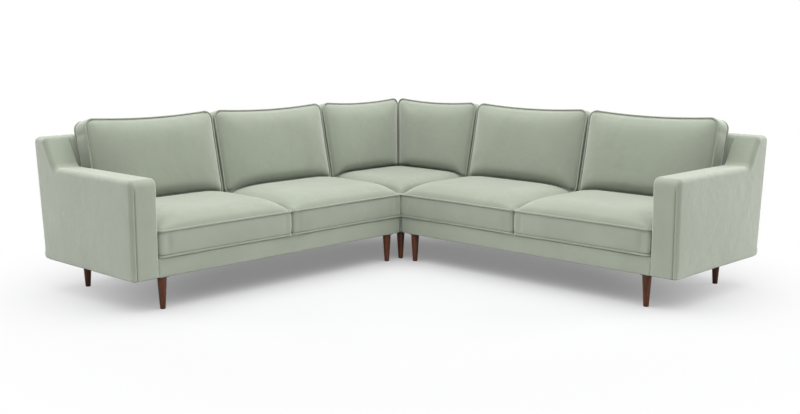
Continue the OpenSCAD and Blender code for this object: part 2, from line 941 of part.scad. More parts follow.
// Bars under the corner section, each with a prong that stands up into the wing beside it
module corner_brackets() {
    bar_top = leg_h - socket_t - socket_gap;
    color(steel)
        both_sides()
            for (y = connector_y) {
                block(
                    [corner_low + 2, y - connector_w / 2, bar_top],
                    [corner_low + connector_reach, y + connector_w / 2, leg_h]
                );
                block(
                    [-connector_reach, y - connector_w / 2, bar_top - prong_t],
                    [corner_low + connector_reach, y + connector_w / 2, bar_top]
                );
                block(
                    [prong_x - prong_t / 2, y - prong_w / 2, bar_top - 1],
                    [prong_x + prong_t / 2, y + prong_w / 2, leg_h + prong_h]
                );
            }
}

module corner_back_left() {
    back_cushion(corner_back_x0, corner_back_x1, true, [corner_seat_box]);
}
corner_back_x0 = 2;
corner_back_x1 = lean_y;

// Left wing
module left_arm_cover() { at_corner() wing_arm_cover(); }
module left_arm_frame() { at_corner() wing_arm_frame(); }
module left_base_cover() { at_corner() wing_base_cover(); }
module left_seat_frame() { at_corner() wing_seat_frame(); }
module left_seat_springs() { at_corner() wing_seat_springs(); }
module left_deck() { at_corner() wing_deck(); }
module left_back_cover() { at_corner() wing_back_cover(); }
module left_back_frame() { at_corner() wing_back_frame(); }
module left_back_straps() { at_corner() wing_back_straps(); }
module left_dust_cloth() { at_corner() wing_dust_cloth(); }
module left_leg_plates() { at_corner() wing_leg_plates(); }
module left_sockets() { at_corner() wing_sockets(); }
module left_leg_front_outer() { at_corner() leg(wing_legs[0]); }
module left_leg_front_inner() { at_corner() leg(wing_legs[1]); }
module left_leg_rear_outer() { at_corner() leg(wing_legs[2]); }
module left_leg_rear_inner() { at_corner() leg(wing_legs[3]); }
module left_seat_outer() { at_corner() wing_seat_outer(); }
module left_seat_inner() { at_corner() wing_seat_inner(); }
module left_back_outer() { at_corner() wing_back_outer(); }
module left_back_inner() { at_corner() wing_back_inner(); }

// Right wing, the left one's mirror image
module right_arm_cover() { as_right() wing_arm_cover(); }
module right_arm_frame() { as_right() wing_arm_frame(); }
module right_base_cover() { as_right() wing_base_cover(); }
module right_seat_frame() { as_right() wing_seat_frame(); }
module right_seat_springs() { as_right() wing_seat_springs(); }
module right_deck() { as_right() wing_deck(); }
module right_back_cover() { as_right() wing_back_cover(); }
module right_back_frame() { as_right() wing_back_frame(); }
module right_back_straps() { as_right() wing_back_straps(); }
module right_dust_cloth() { as_right() wing_dust_cloth(); }
module right_leg_plates() { as_right() wing_leg_plates(); }
module right_sockets() { as_right() wing_sockets(); }
module right_leg_front_outer() { as_right() leg(wing_legs[0]); }
module right_leg_front_inner() { as_right() leg(wing_legs[1]); }
module right_leg_rear_outer() { as_right() leg(wing_legs[2]); }
module right_leg_rear_inner() { as_right() leg(wing_legs[3]); }
module right_seat_outer() { as_right() wing_seat_outer(); }
module right_seat_inner() { as_right() wing_seat_inner(); }
module right_back_outer() { as_right() wing_back_outer(); }
module right_back_inner() { as_right() wing_back_inner(); }

left_arm_cover();
left_arm_frame();
left_base_cover();
left_seat_frame();
left_seat_springs();
left_deck();
left_back_cover();
left_back_frame();
left_back_straps();
left_dust_cloth();
left_leg_plates();
left_sockets();
left_leg_front_outer();
left_leg_front_inner();
left_leg_rear_outer();
left_leg_rear_inner();
left_seat_outer();
left_seat_inner();
left_back_outer();
left_back_inner();
right_arm_cover();
right_arm_frame();
right_base_cover();
right_seat_frame();
right_seat_springs();
right_deck();
right_back_cover();
right_back_frame();
right_back_straps();
right_dust_cloth();
right_leg_plates();
right_sockets();
right_leg_front_outer();
right_leg_front_inner();
right_leg_rear_outer();
right_leg_rear_inner();
right_seat_outer();
right_seat_inner();
right_back_outer();
right_back_inner();
at_corner() corner_base_cover();
at_corner() corner_seat_frame();
at_corner() corner_seat_springs();
at_corner() corner_deck();
at_corner() corner_half_back_cover();  // corner_left_back_cover
as_right() corner_half_back_cover();  // corner_right_back_cover
at_corner() corner_back_frame();
at_corner() corner_back_straps();
at_corner() corner_dust_cloth();
at_corner() corner_leg_plates();
at_corner() corner_brackets();
at_corner() leg(corner_legs[0]);  // corner_leg_front
at_corner() leg(corner_legs[1]);  // corner_leg_left
at_corner() leg(corner_legs[2]);  // corner_leg_right
at_corner() leg(corner_legs[3]);  // corner_leg_rear
at_corner() seat_cushion(corner_seat_box);  // corner_seat
at_corner() corner_back_left();
as_right() corner_back_left();  // corner_back_right
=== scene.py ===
"""A corner sofa in sage velvet on walnut legs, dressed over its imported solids."""
import json
import logging
import math
from dataclasses import dataclass, field
from enum import Enum
from typing import Callable

import bpy
import numpy as np
from mathutils import Euler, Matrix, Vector

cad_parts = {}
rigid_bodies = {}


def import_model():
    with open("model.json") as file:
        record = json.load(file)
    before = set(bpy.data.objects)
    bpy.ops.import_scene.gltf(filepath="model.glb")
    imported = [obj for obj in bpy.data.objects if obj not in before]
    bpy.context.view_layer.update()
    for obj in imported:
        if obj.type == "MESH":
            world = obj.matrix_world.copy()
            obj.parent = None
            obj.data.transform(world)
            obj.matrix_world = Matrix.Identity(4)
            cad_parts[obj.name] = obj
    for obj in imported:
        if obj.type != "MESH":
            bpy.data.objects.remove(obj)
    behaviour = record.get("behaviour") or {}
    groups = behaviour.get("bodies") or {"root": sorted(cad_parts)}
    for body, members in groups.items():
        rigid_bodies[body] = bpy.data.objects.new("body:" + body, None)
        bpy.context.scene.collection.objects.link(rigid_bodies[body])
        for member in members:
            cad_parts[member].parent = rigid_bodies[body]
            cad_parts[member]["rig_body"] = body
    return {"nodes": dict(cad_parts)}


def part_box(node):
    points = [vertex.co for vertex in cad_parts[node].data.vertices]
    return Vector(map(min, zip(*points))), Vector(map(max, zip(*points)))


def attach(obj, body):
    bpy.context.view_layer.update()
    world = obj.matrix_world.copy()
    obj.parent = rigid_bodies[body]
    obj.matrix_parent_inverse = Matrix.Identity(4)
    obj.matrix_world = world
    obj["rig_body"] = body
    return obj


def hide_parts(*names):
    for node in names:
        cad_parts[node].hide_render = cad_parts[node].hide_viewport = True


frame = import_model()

LOG = logging.getLogger("sofa")
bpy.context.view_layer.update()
Array = np.ndarray
WHITE = (1.0, 1.0, 1.0, 1.0)
SIDES = (("left", False), ("right", True))
Socket = bpy.types.NodeSocket


# Shader tools


class Num:
    """A number socket of a node tree, which takes part in Python arithmetic."""

    def __init__(self, graph: "Graph", socket: Socket) -> None:
        """Wraps a float output of a graph."""
        self.graph, self.socket = graph, socket

    def _math(self, operation: str, *values: "Num | float") -> "Num":
        """The result of one Math node, with Blender's name of the operation and its operands."""
        node = self.graph.node("ShaderNodeMath", {"operation": operation}, dict(enumerate(values)))
        return Num(self.graph, node.outputs[0])

    def __add__(self, other: "Num | float") -> "Num":
        """Sum."""
        return self._math("ADD", self, other)

    __radd__ = __add__

    def __sub__(self, other: "Num | float") -> "Num":
        """Difference."""
        return self._math("SUBTRACT", self, other)

    def __rsub__(self, other: float) -> "Num":
        """Difference from a plain number."""
        return self._math("SUBTRACT", other, self)

    def __mul__(self, other: "Num | float") -> "Num":
        """Product."""
        return self._math("MULTIPLY", self, other)

    __rmul__ = __mul__

    def sine(self) -> "Num":
        """Sine."""
        return self._math("SINE", self)

    def ramp(self, low: float, high: float) -> "Num":
        """A smooth step from 0 at low to 1 at high.

        Args:
            low: Where the step starts.
            high: Where it ends.

        Returns:
            A share from 0 to 1.
        """
        inputs = {"Value": self, "From Min": low, "From Max": high}
        node = self.graph.node("ShaderNodeMapRange", {"interpolation_type": "SMOOTHSTEP"}, inputs)
        return Num(self.graph, node.outputs["Result"])


class Graph:
    """A node tree, with one method that adds its nodes."""

    def __init__(self, tree: bpy.types.NodeTree) -> None:
        """Keeps the tree."""
        self.tree = tree

    def node(self, kind: str, settings: dict | None = None, inputs: dict | None = None) -> bpy.types.Node:
        """Adds a node.

        Args:
            kind: The node's type name.
            settings: Its properties, which are set first.
            inputs: Values or links for its sockets, by name or number.

        Returns:
            The node.
        """
        made = self.tree.nodes.new(kind)
        for name, value in (settings or {}).items():
            setattr(made, name, value)
        for key, value in (inputs or {}).items():
            self.feed(made.inputs[key], value)
        return made

    def feed(self, socket: Socket, value: object) -> None:
        """Links or sets one input.

        Args:
            socket: The input.
            value: A Num, a socket, a number or a tuple.
        """
        if isinstance(value, Num):
            value = value.socket
        if isinstance(value, Socket):
            self.tree.links.new(value, socket)
        else:
            socket.default_value = value

    def seen(self) -> Num:
        """1 on camera, glossy and transmission rays, which show the white ground.

        Returns:
            1 on those rays, 0 on the others.
        """
        path = self.node("ShaderNodeLightPath").outputs
        rays = [Num(self, path[f"Is {kind} Ray"]) for kind in ("Camera", "Glossy", "Transmission")]
        return rays[0] + rays[1] + rays[2]


class Shader(Graph):
    """The node tree of one material, with the Principled shader at its end."""

    def __init__(self, name: str) -> None:
        """Makes a material.

        Args:
            name: Its name.
        """
        self.material = bpy.data.materials.new(name)
        self.material.use_nodes = True
        super().__init__(self.material.node_tree)
        self.surface = self.tree.nodes["Principled BSDF"]
        self.output = self.tree.nodes["Material Output"]
        self.coords = self.node("ShaderNodeTexCoord").outputs["Object"]

    def stretched(self, scale: tuple[float, float, float]) -> Socket:
        """Object coordinates scaled along their axes."""
        return self.node("ShaderNodeMapping", None, {"Vector": self.coords, "Scale": scale}).outputs[0]

    def noise(
        self, scale: float, detail: float = 2.0, vector: Socket | None = None,
        distortion: float = 0.0, roughness: float = 0.5,
    ) -> Num:
        """Adds a Noise Texture.

        Args:
            scale: Cells to a metre.
            detail: Number of octaves.
            vector: Where it is read, or None for the object's own coordinates.
            distortion: How far it is bent.
            roughness: Weight of the finer octaves.

        Returns:
            A share from 0 to 1.
        """
        inputs = {
            "Vector": vector or self.coords, "Scale": scale, "Detail": detail,
            "Distortion": distortion, "Roughness": roughness,
        }
        return Num(self, self.node("ShaderNodeTexNoise", None, inputs).outputs[0])

    def mix(self, factor: Num, low: object, high: object) -> Socket:
        """Blends two colours.

        Args:
            factor: 0 for low, 1 for high.
            low: Colour or socket.
            high: Colour or socket.

        Returns:
            The colour.
        """
        node = self.node("ShaderNodeMix", {"data_type": "RGBA"})
        self.feed(node.inputs[0], factor)
        self.feed(node.inputs[6], low)
        self.feed(node.inputs[7], high)
        return node.outputs[2]

    def bump(self, height: Num, depth: float, below: Socket | None = None) -> Socket:
        """Adds a Bump node.

        Args:
            height: The relief from 0 to 1.
            depth: Its depth in metres.
            below: The normal of a coarser relief.

        Returns:
            The bumped normal.
        """
        inputs = {"Height": height, "Distance": depth, "Strength": 1.0}
        if below is not None:
            inputs["Normal"] = below
        return self.node("ShaderNodeBump", None, inputs).outputs[0]

    def finish(
        self, colour: object, roughness: object, normal: object = None, constants: dict | None = None
    ) -> bpy.types.Material:
        """Feeds the Principled shader.

        Args:
            colour: Base colour, plain or a socket.
            roughness: Roughness, plain or a socket.
            normal: The bumped normal.
            constants: Values for other sockets, by name.

        Returns:
            The material.
        """
        self.feed(self.surface.inputs["Base Color"], colour)
        self.feed(self.surface.inputs["Roughness"], roughness)
        if normal is not None:
            self.feed(self.surface.inputs["Normal"], normal)
        for name, value in (constants or {}).items():
            self.feed(self.surface.inputs[name], value)
        return self.material


def linear(red: int, green: int, blue: int) -> tuple[float, float, float, float]:
    """Turns a colour in 0 to 255 steps into the linear values that a socket takes.

    Args:
        red: The red channel.
        green: The green channel.
        blue: The blue channel.

    Returns:
        The three channels from 0 to 1, and 1 at the end.
    """
    def one(step: int) -> float:
        """One channel."""
        value = step / 255
        return value / 12.92 if value <= 0.04045 else ((value + 0.055) / 1.055) ** 2.4

    return one(red), one(green), one(blue), 1.0


# Finishes


class Finish(Enum):
    """The materials of the sofa."""

    VELVET = "sage_velvet"
    WALNUT = "walnut_legs"
    TIMBER = "frame_timber"
    SPRING = "spring_steel"
    ZINC = "zinc_steel"
    FELT = "deck_felt"
    CLOTH = "black_cloth"


@dataclass(frozen=True)
class Velvet:
    """Short sage pile with brushed patches and a sheen at grazing angles."""

    deep: tuple = linear(125, 131, 118)
    light: tuple = linear(131, 138, 124)
    sheen: float = 0.8
    sheen_roughness: float = 0.45

    def build(self) -> bpy.types.Material:
        """Builds the material.

        Returns:
            The material.
        """
        s = Shader(Finish.VELVET.value)
        nap = s.noise(2.6, 2, distortion=0.8).ramp(0.3, 0.7)
        strokes = s.noise(9, 3, s.stretched((1, 1, 0.35)), distortion=0.4).ramp(0.25, 0.75)
        pile = s.noise(1500, 1)
        weave = s.noise(420, 2)
        tone = nap * 0.55 + strokes * 0.25 + weave * 0.2
        soft = s.bump(s.noise(16, 2, distortion=0.3), 0.0022)
        normal = s.bump(pile * 0.6 + weave * 0.4, 0.00045, soft)
        return s.finish(
            s.mix(tone, self.deep, self.light),
            0.94 - nap * 0.1,
            normal,
            {
                "Sheen Weight": self.sheen,
                "Sheen Roughness": self.sheen_roughness,
                "Sheen Tint": linear(246, 249, 240),
                "Specular IOR Level": 0.25,
            },
        )


@dataclass(frozen=True)
class Walnut:
    """Dark oiled walnut with its grain along the leg."""

    dark: tuple = linear(48, 23, 12)
    warm: tuple = linear(92, 50, 28)

    def build(self) -> bpy.types.Material:
        """Builds the material.

        Returns:
            The material.
        """
        s = Shader(Finish.WALNUT.value)
        grain = s.noise(46, 5, s.stretched((1, 1, 0.06)), distortion=0.9, roughness=0.62)
        pores = s.noise(520, 2, s.stretched((1, 1, 0.03))).ramp(0.58, 0.72)
        figure = s.noise(12, 2, s.stretched((1, 1, 0.25)), distortion=1.5)
        tone = (grain * 0.7 + figure * 0.3).ramp(0.3, 0.68)
        colour = s.mix(pores * 0.6, s.mix(tone, self.dark, self.warm), linear(34, 19, 13))
        normal = s.bump(grain * 0.3 - pores, 0.0002)
        return s.finish(colour, 0.36 + pores * 0.25, normal, {"Specular IOR Level": 0.2})


@dataclass(frozen=True)
class Pine:
    """Sawn frame timber."""

    pale: tuple = linear(214, 186, 144)
    dark: tuple = linear(178, 138, 92)

    def build(self) -> bpy.types.Material:
        """Builds the material.

        Returns:
            The material.
        """
        s = Shader(Finish.TIMBER.value)
        grain = s.noise(30, 4, s.stretched((0.12, 1, 1)), distortion=0.6)
        saw = s.noise(260, 1, s.stretched((1, 0.1, 0.1)))
        colour = s.mix(grain.ramp(0.35, 0.65), self.pale, self.dark)
        return s.finish(colour, 0.75 + saw * 0.1, s.bump(saw, 0.0003))


@dataclass(frozen=True)
class Steel:
    """Plated or oil-blackened steel."""

    slot: Finish
    light: tuple
    dark: tuple
    roughness: float

    def build(self) -> bpy.types.Material:
        """Builds the material.

        Returns:
            The material.
        """
        s = Shader(self.slot.value)
        bloom = s.noise(90, 3).ramp(0.3, 0.7)
        scratch = s.noise(700, 2, s.stretched((1, 0.08, 1)))
        colour = s.mix(bloom, self.dark, self.light)
        return s.finish(colour, self.roughness + bloom * 0.12, s.bump(scratch, 0.00006), {"Metallic": 1.0})


@dataclass(frozen=True)
class Woven:
    """A plain cloth: the felt of the deck or the black dust cloth and straps."""

    slot: Finish
    light: tuple
    dark: tuple
    threads: float

    def build(self) -> bpy.types.Material:
        """Builds the material.

        Returns:
            The material.
        """
        s = Shader(self.slot.value)
        split = s.node("ShaderNodeSeparateXYZ", None, {0: s.coords})
        across = (Num(s, split.outputs[0]) * self.threads).sine()
        along = (Num(s, split.outputs[1]) * self.threads).sine()
        weave = across * along * 0.5 + 0.5
        fibre = s.noise(240, 3)
        tone = weave * 0.35 + fibre * 0.65
        return s.finish(s.mix(tone, self.dark, self.light), 0.9 + fibre * 0.08, s.bump(tone, 0.0004))


class Wardrobe:
    """Every finish of the sofa, built once."""

    def __init__(self) -> None:
        """Builds the materials."""
        makers = {
            Finish.VELVET: Velvet(),
            Finish.WALNUT: Walnut(),
            Finish.TIMBER: Pine(),
            Finish.SPRING: Steel(Finish.SPRING, linear(120, 118, 116), linear(80, 78, 76), 0.32),
            Finish.ZINC: Steel(Finish.ZINC, linear(104, 106, 110), linear(78, 80, 84), 0.4),
            Finish.FELT: Woven(Finish.FELT, linear(142, 148, 134), linear(104, 110, 98), 900),
            Finish.CLOTH: Woven(Finish.CLOTH, linear(42, 42, 44), linear(18, 18, 20), 2400),
        }
        self.materials = {finish: maker.build() for finish, maker in makers.items()}

    def wear(self, piece: bpy.types.Object, finish: Finish) -> None:
        """Puts one finish on a piece."""
        piece.data.materials.clear()
        piece.data.materials.append(self.materials[finish])


@dataclass
class Bench:
    """Work that takes its finishes from the wardrobe."""

    wardrobe: Wardrobe


# Mesh tools


def added(name: str, data: bpy.types.ID) -> bpy.types.Object:
    """Adds an object to the scene.

    Args:
        name: Its name.
        data: Its mesh, or the data of a camera or a lamp.

    Returns:
        The object.
    """
    piece = bpy.data.objects.new(name, data)
    bpy.context.scene.collection.objects.link(piece)
    return piece


def flipped(faces: list) -> list:
    """Faces seen from their other side."""
    return [tuple(reversed(f)) for f in faces]


def swapped(points: Array) -> Array:
    """Points of the left wing as the right wing's."""
    return points[:, [1, 0, 2]]


def mesh_piece(name: str, points: Array, faces: list, mirrored: bool = False) -> bpy.types.Object:
    """Makes a smooth mesh object at the origin.

    Args:
        name: Its name.
        points: Rows of x, y, z in metres.
        faces: Tuples of point numbers, seen anticlockwise from outside.
        mirrored: True for the right wing's copy, with x and y swapped.

    Returns:
        The object.
    """
    if mirrored:
        points, faces = swapped(points), flipped(faces)
    mesh = bpy.data.meshes.new(name)
    mesh.from_pydata(points.tolist(), [], faces)
    mesh.polygons.foreach_set("use_smooth", np.ones(len(mesh.polygons), bool))
    return added(name, mesh)


def bands(levels: int, count: int) -> list:
    """Quads between the neighbouring rings of a stack, each ring with the same count of points."""
    places = [(j * count, i, (i + 1) % count) for j in range(levels - 1) for i in range(count)]
    return [(low + i, low + count + i, low + count + after, low + after) for low, i, after in places]


def quarter(steps: int) -> list[float]:
    """Angles of a quarter turn in some equal parts."""
    return [math.pi / 2 * k / steps for k in range(steps + 1)]


def skin(rings: list[Array], closed_ends: bool = True) -> tuple[Array, list]:
    """Joins a stack of rings with quads.

    Args:
        rings: Rings of points, each the same length, the same way round.
        closed_ends: True if the first and last ring shrink to a point that is to be merged.

    Returns:
        Points and faces.
    """
    count = len(rings[0])
    points = [np.asarray(r, float) for r in rings]
    faces = bands(len(rings), count)
    stack = np.vstack(points)
    if closed_ends:
        first, last = len(stack), len(stack) + 1
        stack = np.vstack([stack, points[0].mean(0), points[-1].mean(0)])
        end = (len(rings) - 1) * count
        faces += [(first, i, (i + 1) % count) for i in range(count)]
        faces += [(last, end + (i + 1) % count, end + i) for i in range(count)]
    return stack, faces


def fillet(before: Array, corner: Array, after: Array, radius: float, steps: int) -> list[Array]:
    """Points of the arc that rounds a corner of an outline.

    Args:
        before: The corner before it.
        corner: The corner.
        after: The corner after it.
        radius: The arc's radius.
        steps: Parts of the arc.

    Returns:
        The arc's points in order.
    """
    u = (before - corner) / np.linalg.norm(before - corner)
    v = (after - corner) / np.linalg.norm(after - corner)
    half = math.acos(float(np.clip(u @ v, -1, 1))) / 2
    centre = corner + (u + v) / np.linalg.norm(u + v) * radius / math.sin(half)
    start = corner + u * radius / math.tan(half)
    turn = -1 if u[0] * v[1] - u[1] * v[0] > 0 else 1
    sweep = math.pi - 2 * half
    first = math.atan2(start[1] - centre[1], start[0] - centre[0])
    angles = [first + turn * sweep * i / steps for i in range(steps + 1)]
    return [centre + radius * np.array([math.cos(a), math.sin(a)]) for a in angles]


def rounded(corners: list, radii: list[float], pitch: float = 0.018, steps: int = 10) -> Array:
    """A closed outline with rounded corners and evenly spaced points.

    Args:
        corners: Corner points.
        radii: Radius of each corner.
        pitch: Greatest distance between points on the straights.
        steps: Parts of each arc.

    Returns:
        The outline's points.
    """
    corners = [np.array(c, float) for c in corners]
    count = len(corners)
    parts: list[Array] = []
    for i, (corner, radius) in enumerate(zip(corners, radii)):
        parts += fillet(corners[i - 1], corner, corners[(i + 1) % count], radius, steps)
    outline: list[Array] = []
    for p, q in zip(parts, parts[1:] + parts[:1]):
        pieces = max(1, math.ceil(np.linalg.norm(q - p) / pitch))
        outline += [p + (q - p) * k / pieces for k in range(pieces)]
    return np.array(outline)


def normals_of(outline: Array) -> Array:
    """Finds the inward unit normals of an anticlockwise outline.

    Args:
        outline: Its points.

    Returns:
        A normal for each point.
    """
    ahead = np.roll(outline, -1, 0) - outline
    behind = outline - np.roll(outline, 1, 0)
    along = ahead / np.linalg.norm(ahead, axis=1)[:, None] + behind / np.linalg.norm(behind, axis=1)[:, None]
    along /= np.linalg.norm(along, axis=1)[:, None]
    return np.stack([-along[:, 1], along[:, 0]], 1)


def depth_inside(points: Array, line: Array) -> Array:
    """How deep points lie inside a closed line, without creases at its corners.

    Args:
        points: Rows of two coordinates.
        line: The line's corners.

    Returns:
        A length that is 0 on the line and grows smoothly inwards.
    """
    along = np.roll(line, -1, 0) - line
    to = points[:, None] - line[None]
    share = np.clip((to * along).sum(2) / (along**2).sum(1), 0, 1)
    far = np.linalg.norm(to - share[:, :, None] * along, axis=2)
    weight = np.linalg.norm(along, axis=1)
    return ((np.maximum(far, 1e-4) ** -4) @ weight) ** (-1 / 3)


def smoothstep(value: Array, low: float, high: float) -> Array:
    """A smooth step from 0 at low to 1 at high."""
    t = np.clip((value - low) / (high - low), 0, 1)
    return t * t * (3 - 2 * t)


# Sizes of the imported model


@dataclass(frozen=True)
class Sizes:
    """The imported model's own sizes in metres, in the drawing's frame."""

    wing_len: float = 1.8
    depth_top: float = 0.89
    depth_foot: float = 0.83
    leg_h: float = 0.16
    deck_z: float = 0.256
    half_gap: float = 0.0004
    pad: float = 0.014
    arm_w: float = 0.139
    arm_h: float = 0.638
    scoop_y: float = 0.693
    plateau_y: float = 0.783
    scoop_r: float = 0.045
    arm_front_r: float = 0.038
    arm_edge_r: float = 0.02
    arm_foot_r: float = 0.036
    back_h: float = 0.785
    seat_back_y: float = 0.652
    rake: float = math.radians(12)
    back_top_r: float = 0.028
    back_edge_r: float = 0.014
    seat_t: float = 0.133
    seat_crown: float = 0.067
    seat_proud: float = 0.01
    arm_gap: float = 0.008
    seat_corner_r: float = 0.018
    back_cushion_w: float = 0.8
    back_end_gap: float = 0.0285
    back_cushion_h: float = 0.477
    back_cushion_t: float = 0.115
    back_crown: float = 0.034
    ear_h: float = 0.014
    back_gap: float = 0.012
    back_corner_r: float = 0.046
    back_side_gap: float = 0.017
    welt: float = 0.003
    soft_gap: float = 0.0004
    seam_gap: float = 0.001
    draw_in: float = 0.006
    sag_reach: float = 0.2
    mitre_inner_r: float = 0.0005
    mitre_outer_r: float = 0.026
    leg_top_d: float = 0.047
    leg_foot_d: float = 0.027
    plate_t: float = 0.003

    @property
    def arm_inner(self) -> float:
        """X of an arm's inner face."""
        return -self.wing_len + self.arm_w

    @property
    def seat_bottom(self) -> float:
        """Height of the seat cushions' underside."""
        return self.deck_z + self.soft_gap

    @property
    def seat_top(self) -> float:
        """Height of the seat cushions' top seam."""
        return self.seat_bottom + self.seat_t

    @property
    def seat_w(self) -> float:
        """Width of a wing's seat cushion."""
        return (-self.arm_inner - self.arm_gap) / 2

    @property
    def slope(self) -> float:
        """Run of the back's front face for each metre of height."""
        return math.tan(self.rake)

    @property
    def lean_y(self) -> float:
        """Distance to the back at the height of the seat cushions' top seam."""
        rise = self.seat_top - self.deck_z
        return self.seat_back_y + self.slope * rise - self.soft_gap / math.cos(self.rake)


S = Sizes()
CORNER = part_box("left_base_cover")[1].x + S.half_gap


# Cushions


# How steeply the seats' crowns fall at their outer and at their inner ends
WING_POWERS = (6, 9)
CORNER_POWERS = (9, 9)


def bulge(t: Array, power: Array | float = 4) -> Array:
    """Share of a crown at a signed share of the half width."""
    return 1 - np.minimum(1, np.abs(t)) ** power


@dataclass(frozen=True)
class Dimple:
    """How the boxing falls in behind a cushion's corners, where the filling falls short."""

    depth: float = 0.0035
    more: float = 0.002
    along: float = 0.024
    shift: float = 0.012
    back: float = 0.03
    spread: float = 0.014
    reach: float = 0.02
    front: tuple[float, float] = (0.03, 0.012)


@dataclass
class Pillow:
    """A boxed cushion about its own middle: x across, y up or back, z out of its flat face."""

    width: float
    height: float
    radius: float
    thickness: float
    crown: float
    draw: tuple[float, float, float, float]
    power: float = 4
    low_power: float = 0.0
    end_power: float = 0.0
    pitch: float = 0.011
    tuck: float = 0.003
    groove: float = 0.003
    front_radius: float = 0.0
    dent: tuple[float, float, float] = (0.0, 0.05, 0.02)
    seed: int = 1
    dimple: Dimple = Dimple()
    arc_points: int = 25
    side_points: int = 60
    welt_points: int = 90
    boxing_power: float = 0.35
    boxing_swell: float = 0.9
    seam_inset: float = 0.0005
    lip: float = 0.6
    lip_inset: float = 0.0045
    lip_reach: float = 0.012
    sole_reach: float = 0.02
    points: Array = field(init=False)
    faces: list = field(init=False)
    pinned: Array = field(init=False)

    def __post_init__(self) -> None:
        """Builds the closed mesh of panels and boxing."""
        self.columns = max(8, round(self.width / self.pitch))
        self.rows = max(8, round(self.height / self.pitch))
        self.outline = self._outline()
        self._build()

    def _outline(self) -> Array:
        """Dense outline, anticlockwise from the middle of the corner at low x and low y.

        Returns:
            Its points.
        """
        radii = [self.radius, self.front_radius or self.radius, self.radius, self.radius]
        signs = [(-1, -1), (1, -1), (1, 1), (-1, 1)]
        half_x, half_y = self.width / 2, self.height / 2
        middles = [np.array([sx * (half_x - r), sy * (half_y - r)]) for (sx, sy), r in zip(signs, radii)]
        points = []
        for q, (middle, radius) in enumerate(zip(middles, radii)):
            angles = np.radians(180 + 90 * q + np.linspace(0, 90, self.arc_points))
            arc = middle + radius * np.stack([np.cos(angles), np.sin(angles)], 1)
            last = math.radians(180 + 90 * ((q + 1) % 4))
            ahead = middles[(q + 1) % 4] + radii[(q + 1) % 4] * np.array([math.cos(last), math.sin(last)])
            share = np.linspace(-1, 1, self.side_points + 2)[1:-1, None]
            side = (arc[-1] * (1 - share) + ahead * (1 + share)) / 2
            inward = [(0, 1), (-1, 0), (0, -1), (1, 0)][q]
            points += [arc, side + self.draw[q] * (1 - share**2) * inward]
        return np.roll(np.vstack(points), -(self.arc_points // 2), 0)

    def _shrunk(self, inset: float) -> Array:
        """The outline drawn in by a distance."""
        return self.outline * [1 - 2 * inset / self.width, 1 - 2 * inset / self.height]

    def rim(self, inset: float, count: int | None = None) -> Array:
        """Points spaced along the outline, side by side as the panel's grid needs them.

        Args:
            inset: Distance inside the outline.
            count: Points to a side if they are the same for all, or None for the grid's own.

        Returns:
            Points in order, from the corner at low x and low y.
        """
        line = self._shrunk(inset)
        loop = np.vstack([line, line[:1]])
        reach = np.concatenate([[0], np.cumsum(np.linalg.norm(np.diff(loop, axis=0), axis=1))])
        quarter_count = self.arc_points + self.side_points
        out = []
        for side in range(4):
            cells = count or (self.columns if side % 2 == 0 else self.rows)
            first, last = reach[side * quarter_count], reach[(side + 1) * quarter_count]
            span = np.linspace(first, last, cells + 1)[:-1]
            out.append(np.stack([np.interp(span, reach, loop[:, k]) for k in range(2)], 1))
        return np.vstack(out)

    def crown_at(self, x: Array, y: Array) -> Array:
        """Height of the crown at points of the panel, which stays full down to its low edge.

        Args:
            x: Where, across.
            y: Where, up or back.

        Returns:
            The heights.
        """
        low = np.where(y < 0, self.low_power or self.power, self.power)
        end = np.where(x > 0, self.end_power or self.power, self.power)
        return self.crown * bulge(2 * x / self.width, end) * bulge(2 * y / self.height, low)

    def _panel(self, rim: Array) -> tuple[Array, dict]:
        """Fills a rim with a grid.

        Args:
            rim: The rim's points, from rim().

        Returns:
            The inner points, and the number of each grid place, rim points first.
        """
        n, m = self.columns, self.rows
        edge = {}
        for k in range(len(rim)):
            if k < n:
                edge[(k, 0)] = k
            elif k < n + m:
                edge[(n, k - n)] = k
            elif k < 2 * n + m:
                edge[(2 * n + m - k, m)] = k
            else:
                edge[(0, 2 * n + 2 * m - k)] = k
        left = np.array([rim[edge[(0, j)]] for j in range(m + 1)])
        right = np.array([rim[edge[(n, j)]] for j in range(m + 1)])
        low = np.array([rim[edge[(i, 0)]] for i in range(n + 1)])
        high = np.array([rim[edge[(i, m)]] for i in range(n + 1)])
        inner, places = [], dict(edge)
        for j in range(1, m):
            for i in range(1, n):
                u, v = i / n, j / m
                blend = (1 - u) * left[j] + u * right[j] + (1 - v) * low[i] + v * high[i]
                blend -= (1 - u) * (1 - v) * low[0] + u * (1 - v) * low[n]
                blend -= (1 - u) * v * high[0] + u * v * high[n]
                places[(i, j)] = len(rim) + len(inner)
                inner.append(blend)
        return np.array(inner), places

